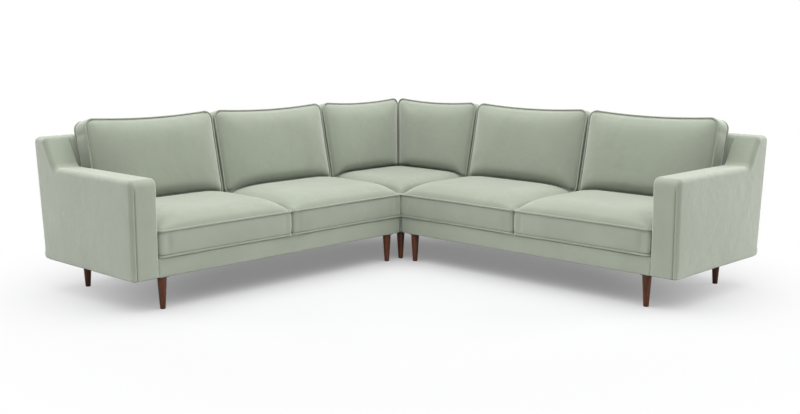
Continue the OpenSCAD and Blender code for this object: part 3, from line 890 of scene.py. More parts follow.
    def _build(self) -> None:
        """Joins the lower panel, the boxing and the crowned panel."""
        seam_low, seam_high = self.welt_heights()
        inset = S.welt + self.tuck
        levels = [(seam_low, inset)]
        steps = max(4, round((seam_high - seam_low) / self.pitch))
        for k in range(1, steps):
            share = k / steps
            lift = math.sin(math.pi * share) ** self.boxing_power
            out = lift * (self.tuck + self.boxing_swell * S.welt)
            levels.append((seam_low + share * (seam_high - seam_low), inset - out))
        levels.append((seam_high - self.groove, inset + self.seam_inset))
        levels.append((seam_high + self.lip * S.welt, inset + self.lip_inset))
        count = 2 * (self.columns + self.rows)
        rings = [np.column_stack([self.rim(i), np.full(count, z)]) for z, i in levels]
        points = [np.vstack(rings)]
        faces = [(a, b, c, d) for a, d, c, b in bands(len(rings), count)]
        total = len(rings) * count
        for top in (False, True):
            rim = rings[-1] if top else rings[0]
            inner, places = self._panel(rim[:, :2])
            fall = self._from_edge(inner)
            if top:
                lip = self.lip + (1 - self.lip) * smoothstep(fall, 0, self.lip_reach)
                z = seam_high + S.welt * lip + self.crown_at(inner[:, 0], inner[:, 1])
            else:
                z = seam_low * (1 - smoothstep(fall, 0, self.sole_reach))
            points.append(np.column_stack([inner, z]))
            base = (len(rings) - 1) * count if top else 0
            number = {k: (base + v if v < count else total + v - count) for k, v in places.items()}
            for j in range(self.rows):
                for i in range(self.columns):
                    quad = (number[(i, j)], number[(i + 1, j)], number[(i + 1, j + 1)], number[(i, j + 1)])
                    faces.append(quad if top else tuple(reversed(quad)))
            total += len(inner)
        self.points = np.vstack(points)
        self.faces = faces
        self.boxed = len(rings) * count
        self.pinned = np.zeros(len(self.points), bool)
        top_seam, flat_end = self.boxed - 2 * count, self.boxed + len(points[1])
        held = ((0, count), (top_seam, top_seam + count), (self.boxed, flat_end))
        for first, last in held:
            self.pinned[first:last] = True
        self._dimple()

    def _from_edge(self, points: Array) -> Array:
        """Rough distance of points from the panel's rim."""
        return np.minimum(self.width / 2 - np.abs(points[:, 0]), self.height / 2 - np.abs(points[:, 1]))

    def _dimple(self) -> None:
        """Draws the boxing in a little behind each corner, and its front by the dent."""
        p, d = self.points, self.dimple
        side = np.arange(len(p)) < self.boxed
        seam_low, seam_high = self.welt_heights()
        mid = np.clip((p[:, 2] - seam_low) / (seam_high - seam_low), 0, 1)
        arch = np.sin(math.pi * mid) * side
        random = np.random.default_rng(self.seed)
        half_x, half_y = self.width / 2, self.height / 2
        for sx in (-1, 1):
            for sy in (-1, 1):
                depth = d.depth + d.more * random.random()
                at = half_x - self.radius - d.along - d.shift * random.random()
                near = np.exp(-(((p[:, 0] * sx - at) / d.spread) ** 2)) * (p[:, 1] * sy > half_y - d.reach)
                p[:, 1] -= sy * depth * near * arch
                at = half_y - self.radius - d.back
                near = np.exp(-(((p[:, 1] * sy - at) / d.spread) ** 2)) * (p[:, 0] * sx > half_x - d.reach)
                p[:, 0] -= sx * depth * near * arch
        depth, middle, spread = self.dent
        near = np.exp(-((np.maximum(0, p[:, 0] + half_x - middle) / spread) ** 2))
        front = smoothstep(-p[:, 1], *(half_y - reach for reach in d.front))
        p[:, 1] += depth * near * front * (0.3 + 0.7 * arch) * side

    def welt_heights(self) -> tuple[float, float]:
        """Heights of the two seams."""
        return S.welt, self.thickness - 2 * S.welt

    def welt_path(self, top: bool) -> Array:
        """Traces the middle of a welt.

        Args:
            top: True for the welt of the crowned panel.

        Returns:
            Points all round it.
        """
        low, high = self.welt_heights()
        rim = self.rim(S.welt, self.welt_points)
        return np.column_stack([rim, np.full(len(rim), high if top else low)])


Placing = Callable[[Array], Array]
Box = tuple[tuple[float, float], tuple[float, float]]


@dataclass
class Cushion:
    """A cushion with its place on the sofa."""

    name: str
    node: str
    body: str
    pillow: Pillow
    place: Placing
    mirrored: bool
    limit: float


def seat_place(low: tuple[float, float], high: tuple[float, float], meets: bool) -> Placing:
    """Where a seat cushion lies.

    Args:
        low: Low corner of its box in plan.
        high: High corner.
        meets: True if its front corner meets the other wing's on the diagonal.

    Returns:
        The function that moves its points.
    """
    middle = np.array([(low[0] + high[0]) / 2, (low[1] + high[1]) / 2, S.seat_bottom])

    def place(points: Array) -> Array:
        """Moves the points.

        Args:
            points: Points about the cushion's middle.

        Returns:
            The points on the sofa.
        """
        at = points + middle
        if meets:
            over = np.maximum(0, at[:, 0] - at[:, 1] + S.soft_gap) / 2
            at = at + np.stack([-over, over, 0 * over], 1)
        return at + [CORNER, CORNER, 0]

    return place


def seat_rise(x: Array, y: Array, boxes: list[Box], powers: tuple[float, float]) -> Array:
    """Height of the seat cushions' crowns above their welts.

    Args:
        x: Where, in plan.
        y: Where, in plan.
        boxes: The cushions.
        powers: How steeply their crowns fall at the outer and at the inner end.

    Returns:
        The heights.
    """
    rises = []
    for low, high in boxes:
        u = (2 * x - low[0] - high[0]) / (high[0] - low[0])
        v = (2 * y - low[1] - high[1]) / (high[1] - low[1])
        rises.append(S.seat_crown * bulge(u, np.where(u > 0, powers[1], powers[0])) * bulge(v, powers[0]))
    return np.max(rises, axis=0)


def back_place(x0: float, x1: float, mitred: bool, boxes: list[Box]) -> Placing:
    """Where a back cushion leans.

    Args:
        x0: Its outer end.
        x1: Its inner end.
        mitred: True if the inner end follows the corner's diagonal.
        boxes: The seat cushions below it, in plan.

    Returns:
        The function that moves its points.
    """
    sin, cos = math.sin(S.rake), math.cos(S.rake)
    powers = CORNER_POWERS if mitred else WING_POWERS

    def place(points: Array) -> Array:
        """Moves the points.

        Args:
            points: Points about the cushion's middle.

        Returns:
            The points on the sofa.
        """
        a, b, c = points[:, 0], points[:, 1] + S.back_cushion_h / 2, points[:, 2]
        t = a / (x1 - x0) + 0.5
        end = S.lean_y + b * sin - c * cos - S.soft_gap if mitred else x1
        x = x0 + t * (end - x0)
        y = S.lean_y - c * cos
        foot = (seat_rise(x, y, boxes, powers) + 2 * S.soft_gap - c * sin) / cos
        b = b + foot * np.maximum(0, 1 - b / S.sag_reach) ** 2
        y = S.lean_y + b * sin - c * cos
        end = y - S.soft_gap if mitred else x1
        return np.column_stack([x0 + t * (end - x0) + CORNER, y + CORNER, S.seat_top + b * cos + c * sin])

    return place


@dataclass
class Plumper:
    """Fills the cushions with a cloth simulation, all at once."""

    cushions: list[Cushion]
    frames: int = 20
    filling = {
        "quality": 4, "mass": 0.35, "tension_stiffness": 18, "compression_stiffness": 12,
        "shear_stiffness": 8, "bending_stiffness": 12, "vertex_group_mass": "held", "pin_stiffness": 1,
        "shrink_min": -0.001, "use_pressure": True, "uniform_pressure_force": 6,
    }

    def _cloth(self, cushion: Cushion) -> bpy.types.Object:
        """Makes the shell of one cushion with its cloth.

        Args:
            cushion: The cushion.

        Returns:
            The shell, with its seams and its flat panel held.
        """
        pillow = cushion.pillow
        shell = mesh_piece(cushion.name + "_shell", pillow.points, pillow.faces)
        group = shell.vertex_groups.new(name="held")
        group.add(np.flatnonzero(pillow.pinned).tolist(), 1.0, "REPLACE")
        cloth = shell.modifiers.new("Filling", "CLOTH")
        for name, value in self.filling.items():
            setattr(cloth.settings, name, value)
        cloth.settings.effector_weights.gravity = 0
        cloth.collision_settings.use_collision = False
        cloth.point_cache.frame_end = self.frames
        return shell

    def run(self) -> None:
        """Runs the cloth and leaves the capped result in each pillow's points."""
        scene = bpy.context.scene
        shells = [self._cloth(c) for c in self.cushions]
        for number in range(1, self.frames + 1):
            scene.frame_set(number)
        graph = bpy.context.evaluated_depsgraph_get()
        for cushion, shell in zip(self.cushions, shells):
            mesh = shell.evaluated_get(graph).data
            moved = np.zeros(len(mesh.vertices) * 3, np.float32)
            mesh.vertices.foreach_get("co", moved)
            start = cushion.pillow.points
            step = moved.reshape(-1, 3) - start
            far = np.linalg.norm(step, axis=1)
            LOG.info("%s filled by up to %.1f mm", cushion.name, far.max() * 1000)
            cushion.pillow.points = self._capped(start, step, cushion)
        for shell in shells:
            bpy.data.objects.remove(shell)
        scene.frame_set(1)

    @staticmethod
    def _capped(start: Array, step: Array, cushion: Cushion) -> Array:
        """Limits how far the points may move.

        Args:
            start: Where they were.
            step: How far the cloth moved each.
            cushion: The cushion, with its limit.

        Returns:
            Where they are left.
        """
        far = np.linalg.norm(step, axis=1)
        share = cushion.limit * np.tanh(far / cushion.limit) / np.maximum(far, 1e-9)
        return start + step * share[:, None]


@dataclass
class PathWelt(Graph):
    """Geometry Nodes that run a round cord along a closed path."""

    radius: float = 1.4 * S.welt
    sides: int = 10

    def __post_init__(self) -> None:
        """Builds the tree."""
        super().__init__(bpy.data.node_groups.new("Welt", "GeometryNodeTree"))
        face = self.tree.interface
        kinds = {"Geometry": "Geometry", "Radius": "Float", "Sides": "Int", "Material": "Material"}
        self.keys = {
            name: face.new_socket(name, in_out="INPUT", socket_type=f"NodeSocket{kind}").identifier
            for name, kind in kinds.items()
        }
        face.new_socket("Geometry", in_out="OUTPUT", socket_type="NodeSocketGeometry")
        start = self.node("NodeGroupInput").outputs
        curve = self.node("GeometryNodeMeshToCurve", None, {0: start["Geometry"]})
        sizes = {"Resolution": start["Sides"], "Radius": start["Radius"]}
        ring = self.node("GeometryNodeCurvePrimitiveCircle", None, sizes)
        paths = {"Curve": curve.outputs[0], "Profile Curve": ring.outputs[0]}
        tube = self.node("GeometryNodeCurveToMesh", None, paths)
        smooth = self.node("GeometryNodeSetShadeSmooth", None, {0: tube.outputs[0]})
        real = self.node("GeometryNodeRealizeInstances", None, {0: smooth.outputs[0]})
        dressed = {0: real.outputs[0], "Material": start["Material"]}
        paint = self.node("GeometryNodeSetMaterial", None, dressed)
        self.node("NodeGroupOutput", None, {0: paint.outputs[0]})

    def sew(
        self, name: str, paths: list[Array], material: bpy.types.Material, mirrored: bool
    ) -> bpy.types.Object:
        """Makes the welts of one cushion.

        Args:
            name: The piece's name.
            paths: Closed paths in the sofa's frame.
            material: Its finish.
            mirrored: True on the right wing.

        Returns:
            A plain mesh.
        """
        points = swapped(np.vstack(paths)) if mirrored else np.vstack(paths)
        edges, first = [], 0
        for path in paths:
            n = len(path)
            edges += [(first + i, first + (i + 1) % n) for i in range(n)]
            first += n
        mesh = bpy.data.meshes.new(name)
        mesh.from_pydata(points.tolist(), edges, [])
        guide = added(name + "_guide", mesh)
        modifier = guide.modifiers.new("Welt", "NODES")
        modifier.node_group = self.tree
        for key, value in (("Radius", self.radius), ("Sides", self.sides), ("Material", material)):
            modifier[self.keys[key]] = value
        graph = bpy.context.evaluated_depsgraph_get()
        solid = bpy.data.meshes.new_from_object(guide.evaluated_get(graph))
        guide.modifiers.clear()
        bpy.data.objects.remove(guide)
        return added(name, solid)


@dataclass
class CushionSet(Bench):
    """The five seat cushions and six back cushions."""

    seat_limit: float = 0.006
    back_limit: float = 0.008
    back_more_crown: float = 0.016
    side_dent: tuple[float, float, float] = (0.009, 0.045, 0.026)
    joint_dent: tuple[float, float, float] = (0.016, 0.0, 0.045)
    rear_gap: float = 0.001
    joint_more: float = 0.004
    corner_more: float = 0.002
    meeting_r: float = 0.006
    cushions: list[Cushion] = field(default_factory=list)

    def __post_init__(self) -> None:
        """Lists the cushions."""
        rear = S.seat_back_y - self.rear_gap
        outer = ((S.arm_inner + S.arm_gap, -S.seat_proud), (-S.seat_w - S.seam_gap / 2, rear))
        inner = ((-S.seat_w + S.seam_gap / 2, -S.seat_proud), (-S.seam_gap / 2, rear))
        corner = ((S.seam_gap / 2, S.seam_gap / 2), (rear, rear))
        left_x = S.arm_inner + S.back_end_gap
        join_x = left_x + S.back_cushion_w
        seed = 0
        end_x = -S.back_side_gap + self.joint_more
        spans = {"outer": (left_x, join_x), "inner": (join_x + S.back_gap, end_x)}
        for side, mirrored in SIDES:
            for part, box in (("outer", outer), ("inner", inner)):
                seed += 1
                self._seat(f"{side}_seat_{part}", box, mirrored, seed)
            for part, (x0, x1) in spans.items():
                seed += 1
                self._back(f"{side}_back_{part}", x0, x1, False, [outer, inner], mirrored, seed)
            seed += 1
            self._back(f"corner_back_{side}", -self.corner_more, S.lean_y, True, [corner], mirrored, seed)
        self._seat("corner_seat", corner, False, seed + 1)

    def _seat(self, node: str, box: Box, mirrored: bool, seed: int) -> None:
        """Adds a seat cushion.

        Args:
            node: The node that it replaces.
            box: Its low and high corners in plan.
            mirrored: True on the right wing.
            seed: Start of its random draws.
        """
        (x0, y0), (x1, y1) = box
        meets = node.endswith("inner")
        power, end_power = CORNER_POWERS if node == "corner_seat" else WING_POWERS
        pillow = Pillow(
            x1 - x0, y1 - y0, S.seat_corner_r, S.seat_t, S.seat_crown, (S.draw_in,) * 4,
            power=power, end_power=end_power, front_radius=self.meeting_r if meets else 0.0,
            dent=self.joint_dent if meets else self.side_dent, seed=seed,
        )
        self._add(node, pillow, seat_place(*box, meets), mirrored, self.seat_limit)

    def _back(
        self, node: str, x0: float, x1: float, mitred: bool, boxes: list[Box], mirrored: bool, seed: int
    ) -> None:
        """Adds a back cushion.

        Args:
            node: The node that it replaces.
            x0: Its outer end.
            x1: Its inner end.
            mitred: True if the inner end follows the corner's diagonal.
            boxes: The seat cushions below it, in plan.
            mirrored: True on the right wing.
            seed: Start of its random draws.
        """
        pillow = Pillow(
            x1 - x0, S.back_cushion_h, S.back_corner_r, S.back_cushion_t, S.back_crown + self.back_more_crown,
            (0, 0.002, S.ear_h, 0.002), power=5, low_power=11, end_power=14 if mitred else 0,
            groove=0.004, seed=seed,
        )
        self._add(node, pillow, back_place(x0, x1, mitred, boxes), mirrored, self.back_limit)

    def _add(self, node: str, pillow: Pillow, place: Placing, mirrored: bool, limit: float) -> None:
        """Adds a cushion to the list."""
        cushion = Cushion(f"{node}_cover", node, f"{node}_cushion", pillow, place, mirrored, limit)
        self.cushions.append(cushion)

    def build(self) -> None:
        """Fills, places and dresses the cushions and sews their welts."""
        Plumper(self.cushions).run()
        welt = PathWelt()
        velvet = self.wardrobe.materials[Finish.VELVET]
        for cushion in self.cushions:
            pillow = cushion.pillow
            piece = mesh_piece(cushion.name, cushion.place(pillow.points), pillow.faces, cushion.mirrored)
            smooth = piece.modifiers.new("Soften", "SUBSURF")
            smooth.levels = smooth.render_levels = 1
            self.wardrobe.wear(piece, Finish.VELVET)
            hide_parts(cushion.node)
            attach(piece, cushion.body)
            paths = [cushion.place(pillow.welt_path(top)) for top in (False, True)]
            cord = welt.sew(f"{cushion.node}_welts", paths, velvet, cushion.mirrored)
            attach(cord, cushion.body)
            LOG.info("cushion %s: %d points", cushion.name, len(pillow.points))


# Upholstered covers


@dataclass
class Slab:
    """A padded slab with a rounded outline in y and z, carried along x."""

    outline: Array
    start: float
    end: float
    edge: float
    heart: tuple[float, float]
    rows: list[float] = field(default_factory=list)
    puff: float = 0.003
    foot: float = 0.4
    foot_h: float = 0.05
    puff_reach: float = 0.14
    start_edge: float = 0.0
    start_rows: list[float] = field(default_factory=list)
    edge_steps: int = 8
    face_steps: int = 12

    @property
    def first_edge(self) -> float:
        """Radius of the edge at the start."""
        return self.start_edge or self.edge

    def ring(self, x: float, inset: float) -> Array:
        """The outline at one station, drawn in by a distance that is less along the foot.

        Args:
            x: Where the station lies.
            inset: The distance.

        Returns:
            The ring's points.
        """
        inward = normals_of(self.outline)
        low = smoothstep(self.outline[:, 1], S.leg_h, S.leg_h + self.foot_h)
        depth = inset * (self.foot + (1 - self.foot) * low)
        at = self.outline + inward * depth[:, None]
        return np.column_stack([np.full(len(at), x), at])

    def face(self, x: float, out: int) -> list[Array]:
        """Makes the rings of a side face from its rim to its middle.

        Args:
            x: Where the face lies.
            out: -1 for the face at the start, 1 for the other.

        Returns:
            The rings.
        """
        rim = self.ring(x, self.first_edge if out < 0 else self.edge)
        heart = np.array([x, *self.heart])
        rings = []
        for k in range(1, self.face_steps + 1):
            share = 1 - k / (self.face_steps + 0.5)
            ring = heart + (rim - heart) * share
            depth = depth_inside(ring[:, 1:], rim[:, 1:])
            ring[:, 0] += out * self.puff * smoothstep(depth, 0, self.puff_reach)
            rings.append(ring)
        return rings

    def rings(self) -> list[Array]:
        """Makes all rings, from the middle of one face to the middle of the other.

        Returns:
            The rings in order.
        """
        curve, first = quarter(self.edge_steps), self.first_edge
        rings = list(reversed(self.face(self.start, -1)))
        steps = sorted([first * (1 - math.cos(a)) for a in curve] + self.start_rows)
        rings += [self.ring(self.start + d, first - math.sqrt(max(0.0, d * (2 * first - d)))) for d in steps]
        rings += [self.ring(x, 0) for x in self.rows]
        for a in reversed(curve):
            rings.append(self.ring(self.end - self.edge * (1 - math.cos(a)), self.edge * (1 - math.sin(a))))
        return rings + self.face(self.end, 1)


@dataclass(frozen=True)
class FrontSeam:
    """The seam down the arm's outer front edge, and the rolls of padding beside it."""

    at: float = 0.021
    rows: tuple[float, ...] = (-0.005, -0.003, -0.002, -0.001, 0, 0.001, 0.002, 0.003, 0.005)
    width: float = 0.003
    depth: float = 0.0062
    roll: float = 0.0022
    rolls: tuple[tuple[float, float, float], ...] = ((-0.011, 0.007, 1.0), (0.012, 0.009, 0.6))
    hollow: float = 0.0012
    front: tuple[float, float] = (0.004, 0.03)
    top: tuple[float, float] = (0.575, 0.605)

    def sink(self, ring: Array, start: float, end: float) -> Array:
        """Says how far the points of a ring go in.

        Args:
            ring: The points.
            start: Where the arm starts in x.
            end: Where it ends.

        Returns:
            A depth for each point.
        """
        x, y, z = ring[:, 0], ring[:, 1], ring[:, 2]
        seam = start + self.at
        front = (1 - smoothstep(y, *self.front)) * (1 - smoothstep(z, *self.top))
        crease = np.exp(-(((x - seam) / self.width) ** 2))
        roll = sum(share * np.exp(-(((x - seam - off) / width) ** 2)) for off, width, share in self.rolls)
        middle = np.sin(np.clip((x - seam) / (end - seam), 0, 1) * math.pi)
        return front * (self.depth * crease - self.roll * roll - self.hollow * middle)


@dataclass
class Covers(Bench):
    """The fabric over arms, backs and bases."""

    arm_outer_r: float = S.arm_edge_r + 0.007
    arm_inner_r: float = 0.014
    arm_more_w: float = 0.005
    base_edge_r: float = 0.011
    base_lip: tuple[tuple[float, float], ...] = ((0.006, 0.0), (0.0015, 0.0012), (0.0, 0.005))
    base_corner_r: float = 0.012
    base_round_r: float = 0.024
    base_swell: float = 0.0012
    arm_heart: tuple[float, float] = (0.6, 0.4)
    back_heart: tuple[float, float] = (0.745, 0.45)
    foot_r: float = 0.01
    back_foot_r: float = 0.004
    deck_r: float = 0.02
    base_inside_h: float = 0.03
    row_margin: float = 0.03

    def _dress(self, node: str, body: str, points: Array, faces: list, mirrored: bool) -> None:
        """Makes one cover in place of its node.

        Args:
            node: The node that it replaces.
            body: The body that it rides on.
            points: Its points in the drawing's frame.
            faces: Its faces.
            mirrored: True on the right wing.
        """
        piece = mesh_piece(f"{node}_velvet", points + [CORNER, CORNER, 0], faces, mirrored)
        self.wardrobe.wear(piece, Finish.VELVET)
        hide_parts(node)
        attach(piece, body)
        LOG.info("cover %s: %d points", node, len(points))

    def arm(self) -> tuple[Array, list]:
        """Shapes the left arm, with its scoop and the seam down its outer front edge.

        Returns:
            Points and faces.
        """
        corners = [
            (0, S.leg_h), (S.depth_foot, S.leg_h), (S.depth_top, S.back_h),
            (S.plateau_y, S.back_h), (S.scoop_y, S.arm_h), (0, S.arm_h),
        ]
        radii = [self.foot_r, S.arm_foot_r, S.back_top_r, S.back_top_r, S.scoop_r, S.arm_front_r]
        outline = rounded(corners, radii, pitch=0.016, steps=12)
        x0, x1 = -S.wing_len, S.arm_inner + self.arm_more_w
        outer_r, inner_r, seam = self.arm_outer_r, self.arm_inner_r, FrontSeam()
        rows = np.linspace(x0 + outer_r + 0.01, x1 - inner_r, 8)[:-1].tolist()
        slab = Slab(
            outline, x0, x1, inner_r, self.arm_heart, rows, puff=0.0035, foot=0.12,
            start_edge=outer_r, start_rows=[seam.at + d for d in seam.rows],
        )
        rings = slab.rings()
        for ring in rings:
            ring[:, 1] += seam.sink(ring, x0, x1)
        return skin(rings)

    def back(self) -> tuple[Array, list]:
        """Shapes the left wing's back.

        Returns:
            Points and faces.
        """
        outline = self._back_outline()
        rows = np.linspace(S.arm_inner + self.row_margin, -S.half_gap - self.row_margin, 40).tolist()
        slab = Slab(outline, S.arm_inner, -S.half_gap, S.back_edge_r, self.back_heart, rows, puff=0.0)
        return skin(slab.rings())

    def _back_outline(self) -> Array:
        """Draws the outline of a back in y and z.

        Returns:
            Its points.
        """
        corners = [
            (S.seat_back_y, S.leg_h), (S.depth_foot, S.leg_h), (S.depth_top, S.back_h),
            (S.seat_back_y + S.slope * (S.back_h - S.deck_z), S.back_h), (S.seat_back_y, S.deck_z),
        ]
        radii = [self.back_foot_r, self.foot_r, S.back_top_r, S.back_top_r, self.deck_r]
        return rounded(corners, radii, pitch=0.02, steps=10)

    def corner_back(self) -> tuple[Array, list]:
        """Shapes the left half of the corner section's back, up to the seam on its mitre.

        Returns:
            Points and faces.
        """
        outline = self._back_outline()
        low = S.half_gap
        slab = Slab(outline, low, 1, S.back_edge_r, self.back_heart, puff=0.0)
        curve = quarter(slab.edge_steps)
        leg = list(reversed(slab.face(low, -1)))
        leg += [slab.ring(low + slab.edge * (1 - math.cos(a)), slab.edge * (1 - math.sin(a))) for a in curve]
        leg += [slab.ring(x, 0) for x in np.linspace(self.row_margin, 0.6, 16)]
        u, z = outline[:, 0], outline[:, 1]
        front = S.seat_back_y + S.slope * np.maximum(0, z - S.deck_z)
        rear = S.depth_foot + (S.depth_top - S.depth_foot) / (S.back_h - S.leg_h) * (z - S.leg_h)
        share = np.clip((u - front) / (rear - front), 0, 1)
        r = S.mitre_inner_r + share * (S.mitre_outer_r - S.mitre_inner_r)
        turn = []
        for degrees in np.linspace(90, 45, 7):
            a = math.radians(degrees)
            turn.append(np.column_stack([u - r + r * math.cos(a), u - r + r * math.sin(a), z]))
        return skin(leg + turn)

    def base(self, low: tuple[float, float], high: tuple[float, float], round_at: int) -> tuple[Array, list]:
        """Shapes an upholstered band round a base.

        Args:
            low: Its low corner in plan.
            high: Its high corner.
            round_at: Number of the corner with the larger radius.

        Returns:
            Points and faces.
        """
        corners = [low, (high[0], low[1]), high, (low[0], high[1])]
        radii = [self.base_round_r if i == round_at else self.base_corner_r for i in range(4)]
        plan = rounded(corners, radii, pitch=0.03, steps=8)
        inward = normals_of(plan)

        def ring(inset: float, z: float) -> Array:
            """The plan drawn in by a distance at one height."""
            at = plan + inward * inset
            return np.column_stack([at, np.full(len(at), z)])

        edge, lip_h, parts = self.base_edge_r, self.base_lip[-1][1], 6
        rings = [ring(S.pad, S.leg_h)] + [ring(inset, S.leg_h + z) for inset, z in self.base_lip]
        for k in range(1, parts):
            swell = -self.base_swell * math.sin(math.pi * k / parts)
            rings.append(ring(swell, S.leg_h + lip_h + (S.deck_z - edge - S.leg_h - lip_h) * k / parts))
        rings += [ring(edge * (1 - math.cos(a)), S.deck_z - edge * (1 - math.sin(a))) for a in quarter(6)]
        rings += [ring(S.pad, S.deck_z), ring(S.pad, S.leg_h + self.base_inside_h)]
        points, faces = skin(rings, False)
        count, last = len(plan), (len(rings) - 1) * len(plan)
        faces += [(last + i, i, (i + 1) % count, last + (i + 1) % count) for i in range(count)]
        return points, flipped(faces)

    def build(self) -> None:
        """Builds every cover."""
        arm, back = self.arm(), self.back()
        base = self.base((S.arm_inner, 0), (-S.half_gap, S.seat_back_y), 1)
        for side, mirrored in SIDES:
            body = f"{side}_section"
            self._dress(f"{side}_arm_cover", body, *arm, mirrored)
            self._dress(f"{side}_back_cover", body, *back, mirrored)
            self._dress(f"{side}_base_cover", body, *base, mirrored)
        low, high = S.half_gap, S.seat_back_y
        self._dress("corner_base_cover", "corner_section", *self.base((low, low), (high, high), 0), False)
        half = self.corner_back()
        for side, mirrored in SIDES:
            self._dress(f"corner_{side}_back_cover", "corner_section", *half, mirrored)


@dataclass
class Legs(Bench):
    """The turned legs, each with a softened foot."""

    sides: int = 48
    soft_r: float = 0.003
    chamfer: float = 0.0012

    def profile(self) -> list[tuple[float, float]]:
        """Works out the outline of a leg from its foot to its top.

        Returns:
            Pairs of radius and height.
        """
        foot, top, height, soft = S.leg_foot_d / 2, S.leg_top_d / 2, S.leg_h - S.plate_t, self.soft_r
        steps = [(foot - soft + soft * math.sin(a), soft * (1 - math.cos(a))) for a in quarter(5)]
        parts, wider, higher = 12, top - foot, height - soft
        steps += [(foot + wider * k / parts, soft + higher * k / parts) for k in range(1, parts)]
        half = self.chamfer / 2
        return [(foot * 0.5, 0.0), *steps, (top - half, height - half), (top - self.chamfer, height)]

    def build(self) -> None:
        """Builds one leg in place of each leg node."""
        angles = [2 * math.pi * i / self.sides for i in range(self.sides)]
        for node, solid in frame["nodes"].items():
            if "_leg_" not in node or node.endswith("plates"):
                continue
            low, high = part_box(node)
            centre = np.array([(low.x + high.x) / 2, (low.y + high.y) / 2, 0])
            rings = [
                np.array([(r * math.cos(a), r * math.sin(a), z) for a in angles]) + centre
                for r, z in self.profile()
            ]
            points, faces = skin(rings)
            piece = mesh_piece(f"{node}_turned", points, flipped(faces))
            self.wardrobe.wear(piece, Finish.WALNUT)
            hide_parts(node)
            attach(piece, str(solid["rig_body"]))
        LOG.info("legs turned")


class Carried(Bench):
    """CAD nodes that stay, with their finishes."""

    words = {
        "frame": Finish.TIMBER, "springs": Finish.SPRING, "deck": Finish.FELT, "straps": Finish.CLOTH,
        "cloth": Finish.CLOTH, "plates": Finish.ZINC, "sockets": Finish.ZINC, "brackets": Finish.ZINC,
    }

    def build(self) -> None:
        """Gives each node that still shows its finish."""
        for name, node in frame["nodes"].items():
            word = name.rsplit("_", 1)[-1]
            if not node.hide_render:
                self.wardrobe.wear(node, self.words[word])
                LOG.info("node %s wears %s", name, self.words[word].value)


# Stage


@dataclass(frozen=True)
class Camera:
    """The photograph's viewpoint, placed in the drawing's frame."""

    place: tuple[float, float, float] = (-4.6267, -4.4466, 1.3492)
    heading: float = 43.9037
    pitch: float = 8.9214
    lens: float = 50.50
    shift_y: float = -0.00695

    def build(self) -> None:
        """Makes the camera and gives it to the scene."""
        data = bpy.data.cameras.new("Camera")
        data.lens, data.sensor_width = self.lens, 36
        data.shift_y = self.shift_y
        data.clip_start, data.clip_end = 0.1, 100
        camera = added("Camera", data)
        camera.location = Vector(self.place) + Vector((CORNER, CORNER, 0))
        camera.rotation_euler = Euler((math.radians(90 - self.pitch), 0, math.radians(self.heading - 90)))
        bpy.context.scene.camera = camera


@dataclass(frozen=True)
class Lamp:
    """A soft square lamp."""

    name: str
    place: tuple[float, float, float]
    aim: tuple[float, float, float]
    size: float
    power: float

    def build(self) -> None:
        """Makes the lamp."""
        data = bpy.data.lights.new(self.name, "AREA")
        data.shape, data.size, data.energy = "SQUARE", self.size, self.power
        lamp = added(self.name, data)
        lamp.location = self.place
        lamp.rotation_euler = (Vector(self.aim) - Vector(self.place)).to_track_quat("-Z", "Y").to_euler()


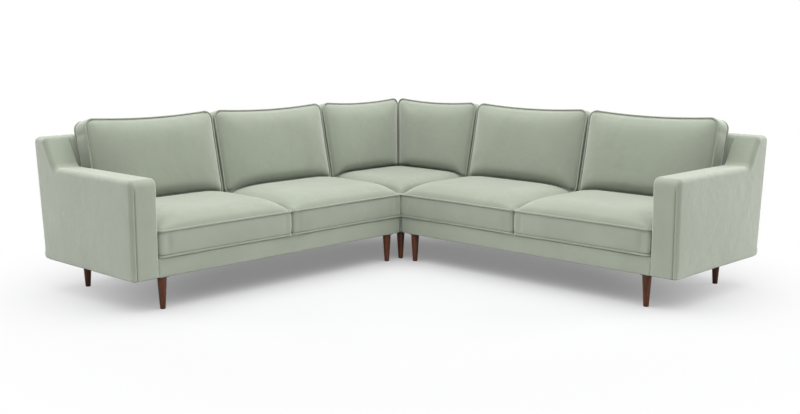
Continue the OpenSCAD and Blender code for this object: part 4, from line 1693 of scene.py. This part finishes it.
@dataclass(frozen=True)
class Studio:
    """Floor, world and lamps."""

    lamps: tuple[Lamp, ...] = (
        Lamp("Overhead", (-0.2, -0.2, 4.2), (0.2, 0.2, 0.3), 7.0, 530),
        Lamp("Right", (5.0, -3.6, 2.6), (0.0, 0.0, 0.4), 3.0, 152),
        Lamp("Left", (-3.6, 5.0, 2.6), (0.0, 0.0, 0.4), 3.0, 112),
    )
    sky: float = 0.24
    size: float = 30.0
    # Strength of a painted glow added to the floor for camera rays, which lightens the sofa's shadow
    lift: float = 0.235
    # Between these distances the floor that the camera sees fades to painted white, which also erases the
    # sofa's shadow beside the arms
    near: float = 1.0
    far: float = 2.5

    def floor(self) -> bpy.types.Object:
        """Lays the pale floor. For camera rays the floor is a darker diffuse with a painted glow added, which
        lightens the sofa's shadow, and from near to far it fades to painted white, which also erases the
        shadow beside the arms.

        Returns:
            The floor.
        """
        corners = [(-1, -1, 0), (1, -1, 0), (1, 1, 0), (-1, 1, 0)]
        piece = mesh_piece("floor", np.array(corners) * self.size, [(0, 1, 2, 3)])
        s = Shader("floor")
        seen = s.seen()
        reach = s.node("ShaderNodeVectorMath", {"operation": "LENGTH"}, {0: s.coords}).outputs["Value"]
        far = Num(s, reach).ramp(self.near, self.far)
        s.finish(linear(244, 244, 245), 0.9, None, {"Specular IOR Level": 0.0})
        glow = s.node("ShaderNodeEmission", None, {"Color": WHITE, "Strength": 1.0})
        # Painted glow that lifts the floor's shadow for camera rays
        lift = s.node("ShaderNodeEmission", None, {"Color": WHITE, "Strength": self.lift})
        calm = s.node("ShaderNodeBsdfDiffuse", None, {"Color": linear(165, 165, 166)})
        both = s.node("ShaderNodeAddShader", None, {0: calm.outputs[0], 1: lift.outputs[0]})
        near = s.node("ShaderNodeMixShader", None, {0: seen, 1: s.surface.outputs[0], 2: both.outputs[0]})
        # From near to far the camera's floor turns to painted white, over the sofa's shadow beside the arms
        last = s.node("ShaderNodeMixShader", None, {0: seen * far, 1: near.outputs[0], 2: glow.outputs[0]})
        s.tree.links.new(last.outputs[0], s.output.inputs["Surface"])
        piece.data.materials.append(s.material)
        return piece

    def world(self) -> None:
        """An even sky that shows as white."""
        world = bpy.data.worlds.new("Studio")
        bpy.context.scene.world = world
        world.use_nodes = True
        graph = Graph(world.node_tree)
        sky, output = (graph.tree.nodes[name] for name in ("Background", "World Output"))
        graph.feed(sky.inputs["Color"], WHITE)
        graph.feed(sky.inputs["Strength"], self.sky)
        white = graph.node("ShaderNodeBackground", None, {"Color": WHITE, "Strength": 1.0})
        shaders = {0: graph.seen(), 1: sky.outputs[0], 2: white.outputs[0]}
        mix = graph.node("ShaderNodeMixShader", None, shaders)
        graph.feed(output.inputs[0], mix.outputs[0])

    def build(self) -> None:
        """Sets the stage."""
        self.world()
        for lamp in self.lamps:
            lamp.build()
        self.floor()
        bpy.context.scene.view_settings.view_transform = "Standard"


def main() -> None:
    """Builds the sofa piece by piece."""
    logging.basicConfig(level=logging.INFO, format="%(message)s")
    wardrobe = Wardrobe()
    Camera().build()
    Studio().build()
    Covers(wardrobe).build()
    CushionSet(wardrobe).build()
    Legs(wardrobe).build()
    Carried(wardrobe).build()


if __name__ == "__main__":
    main()
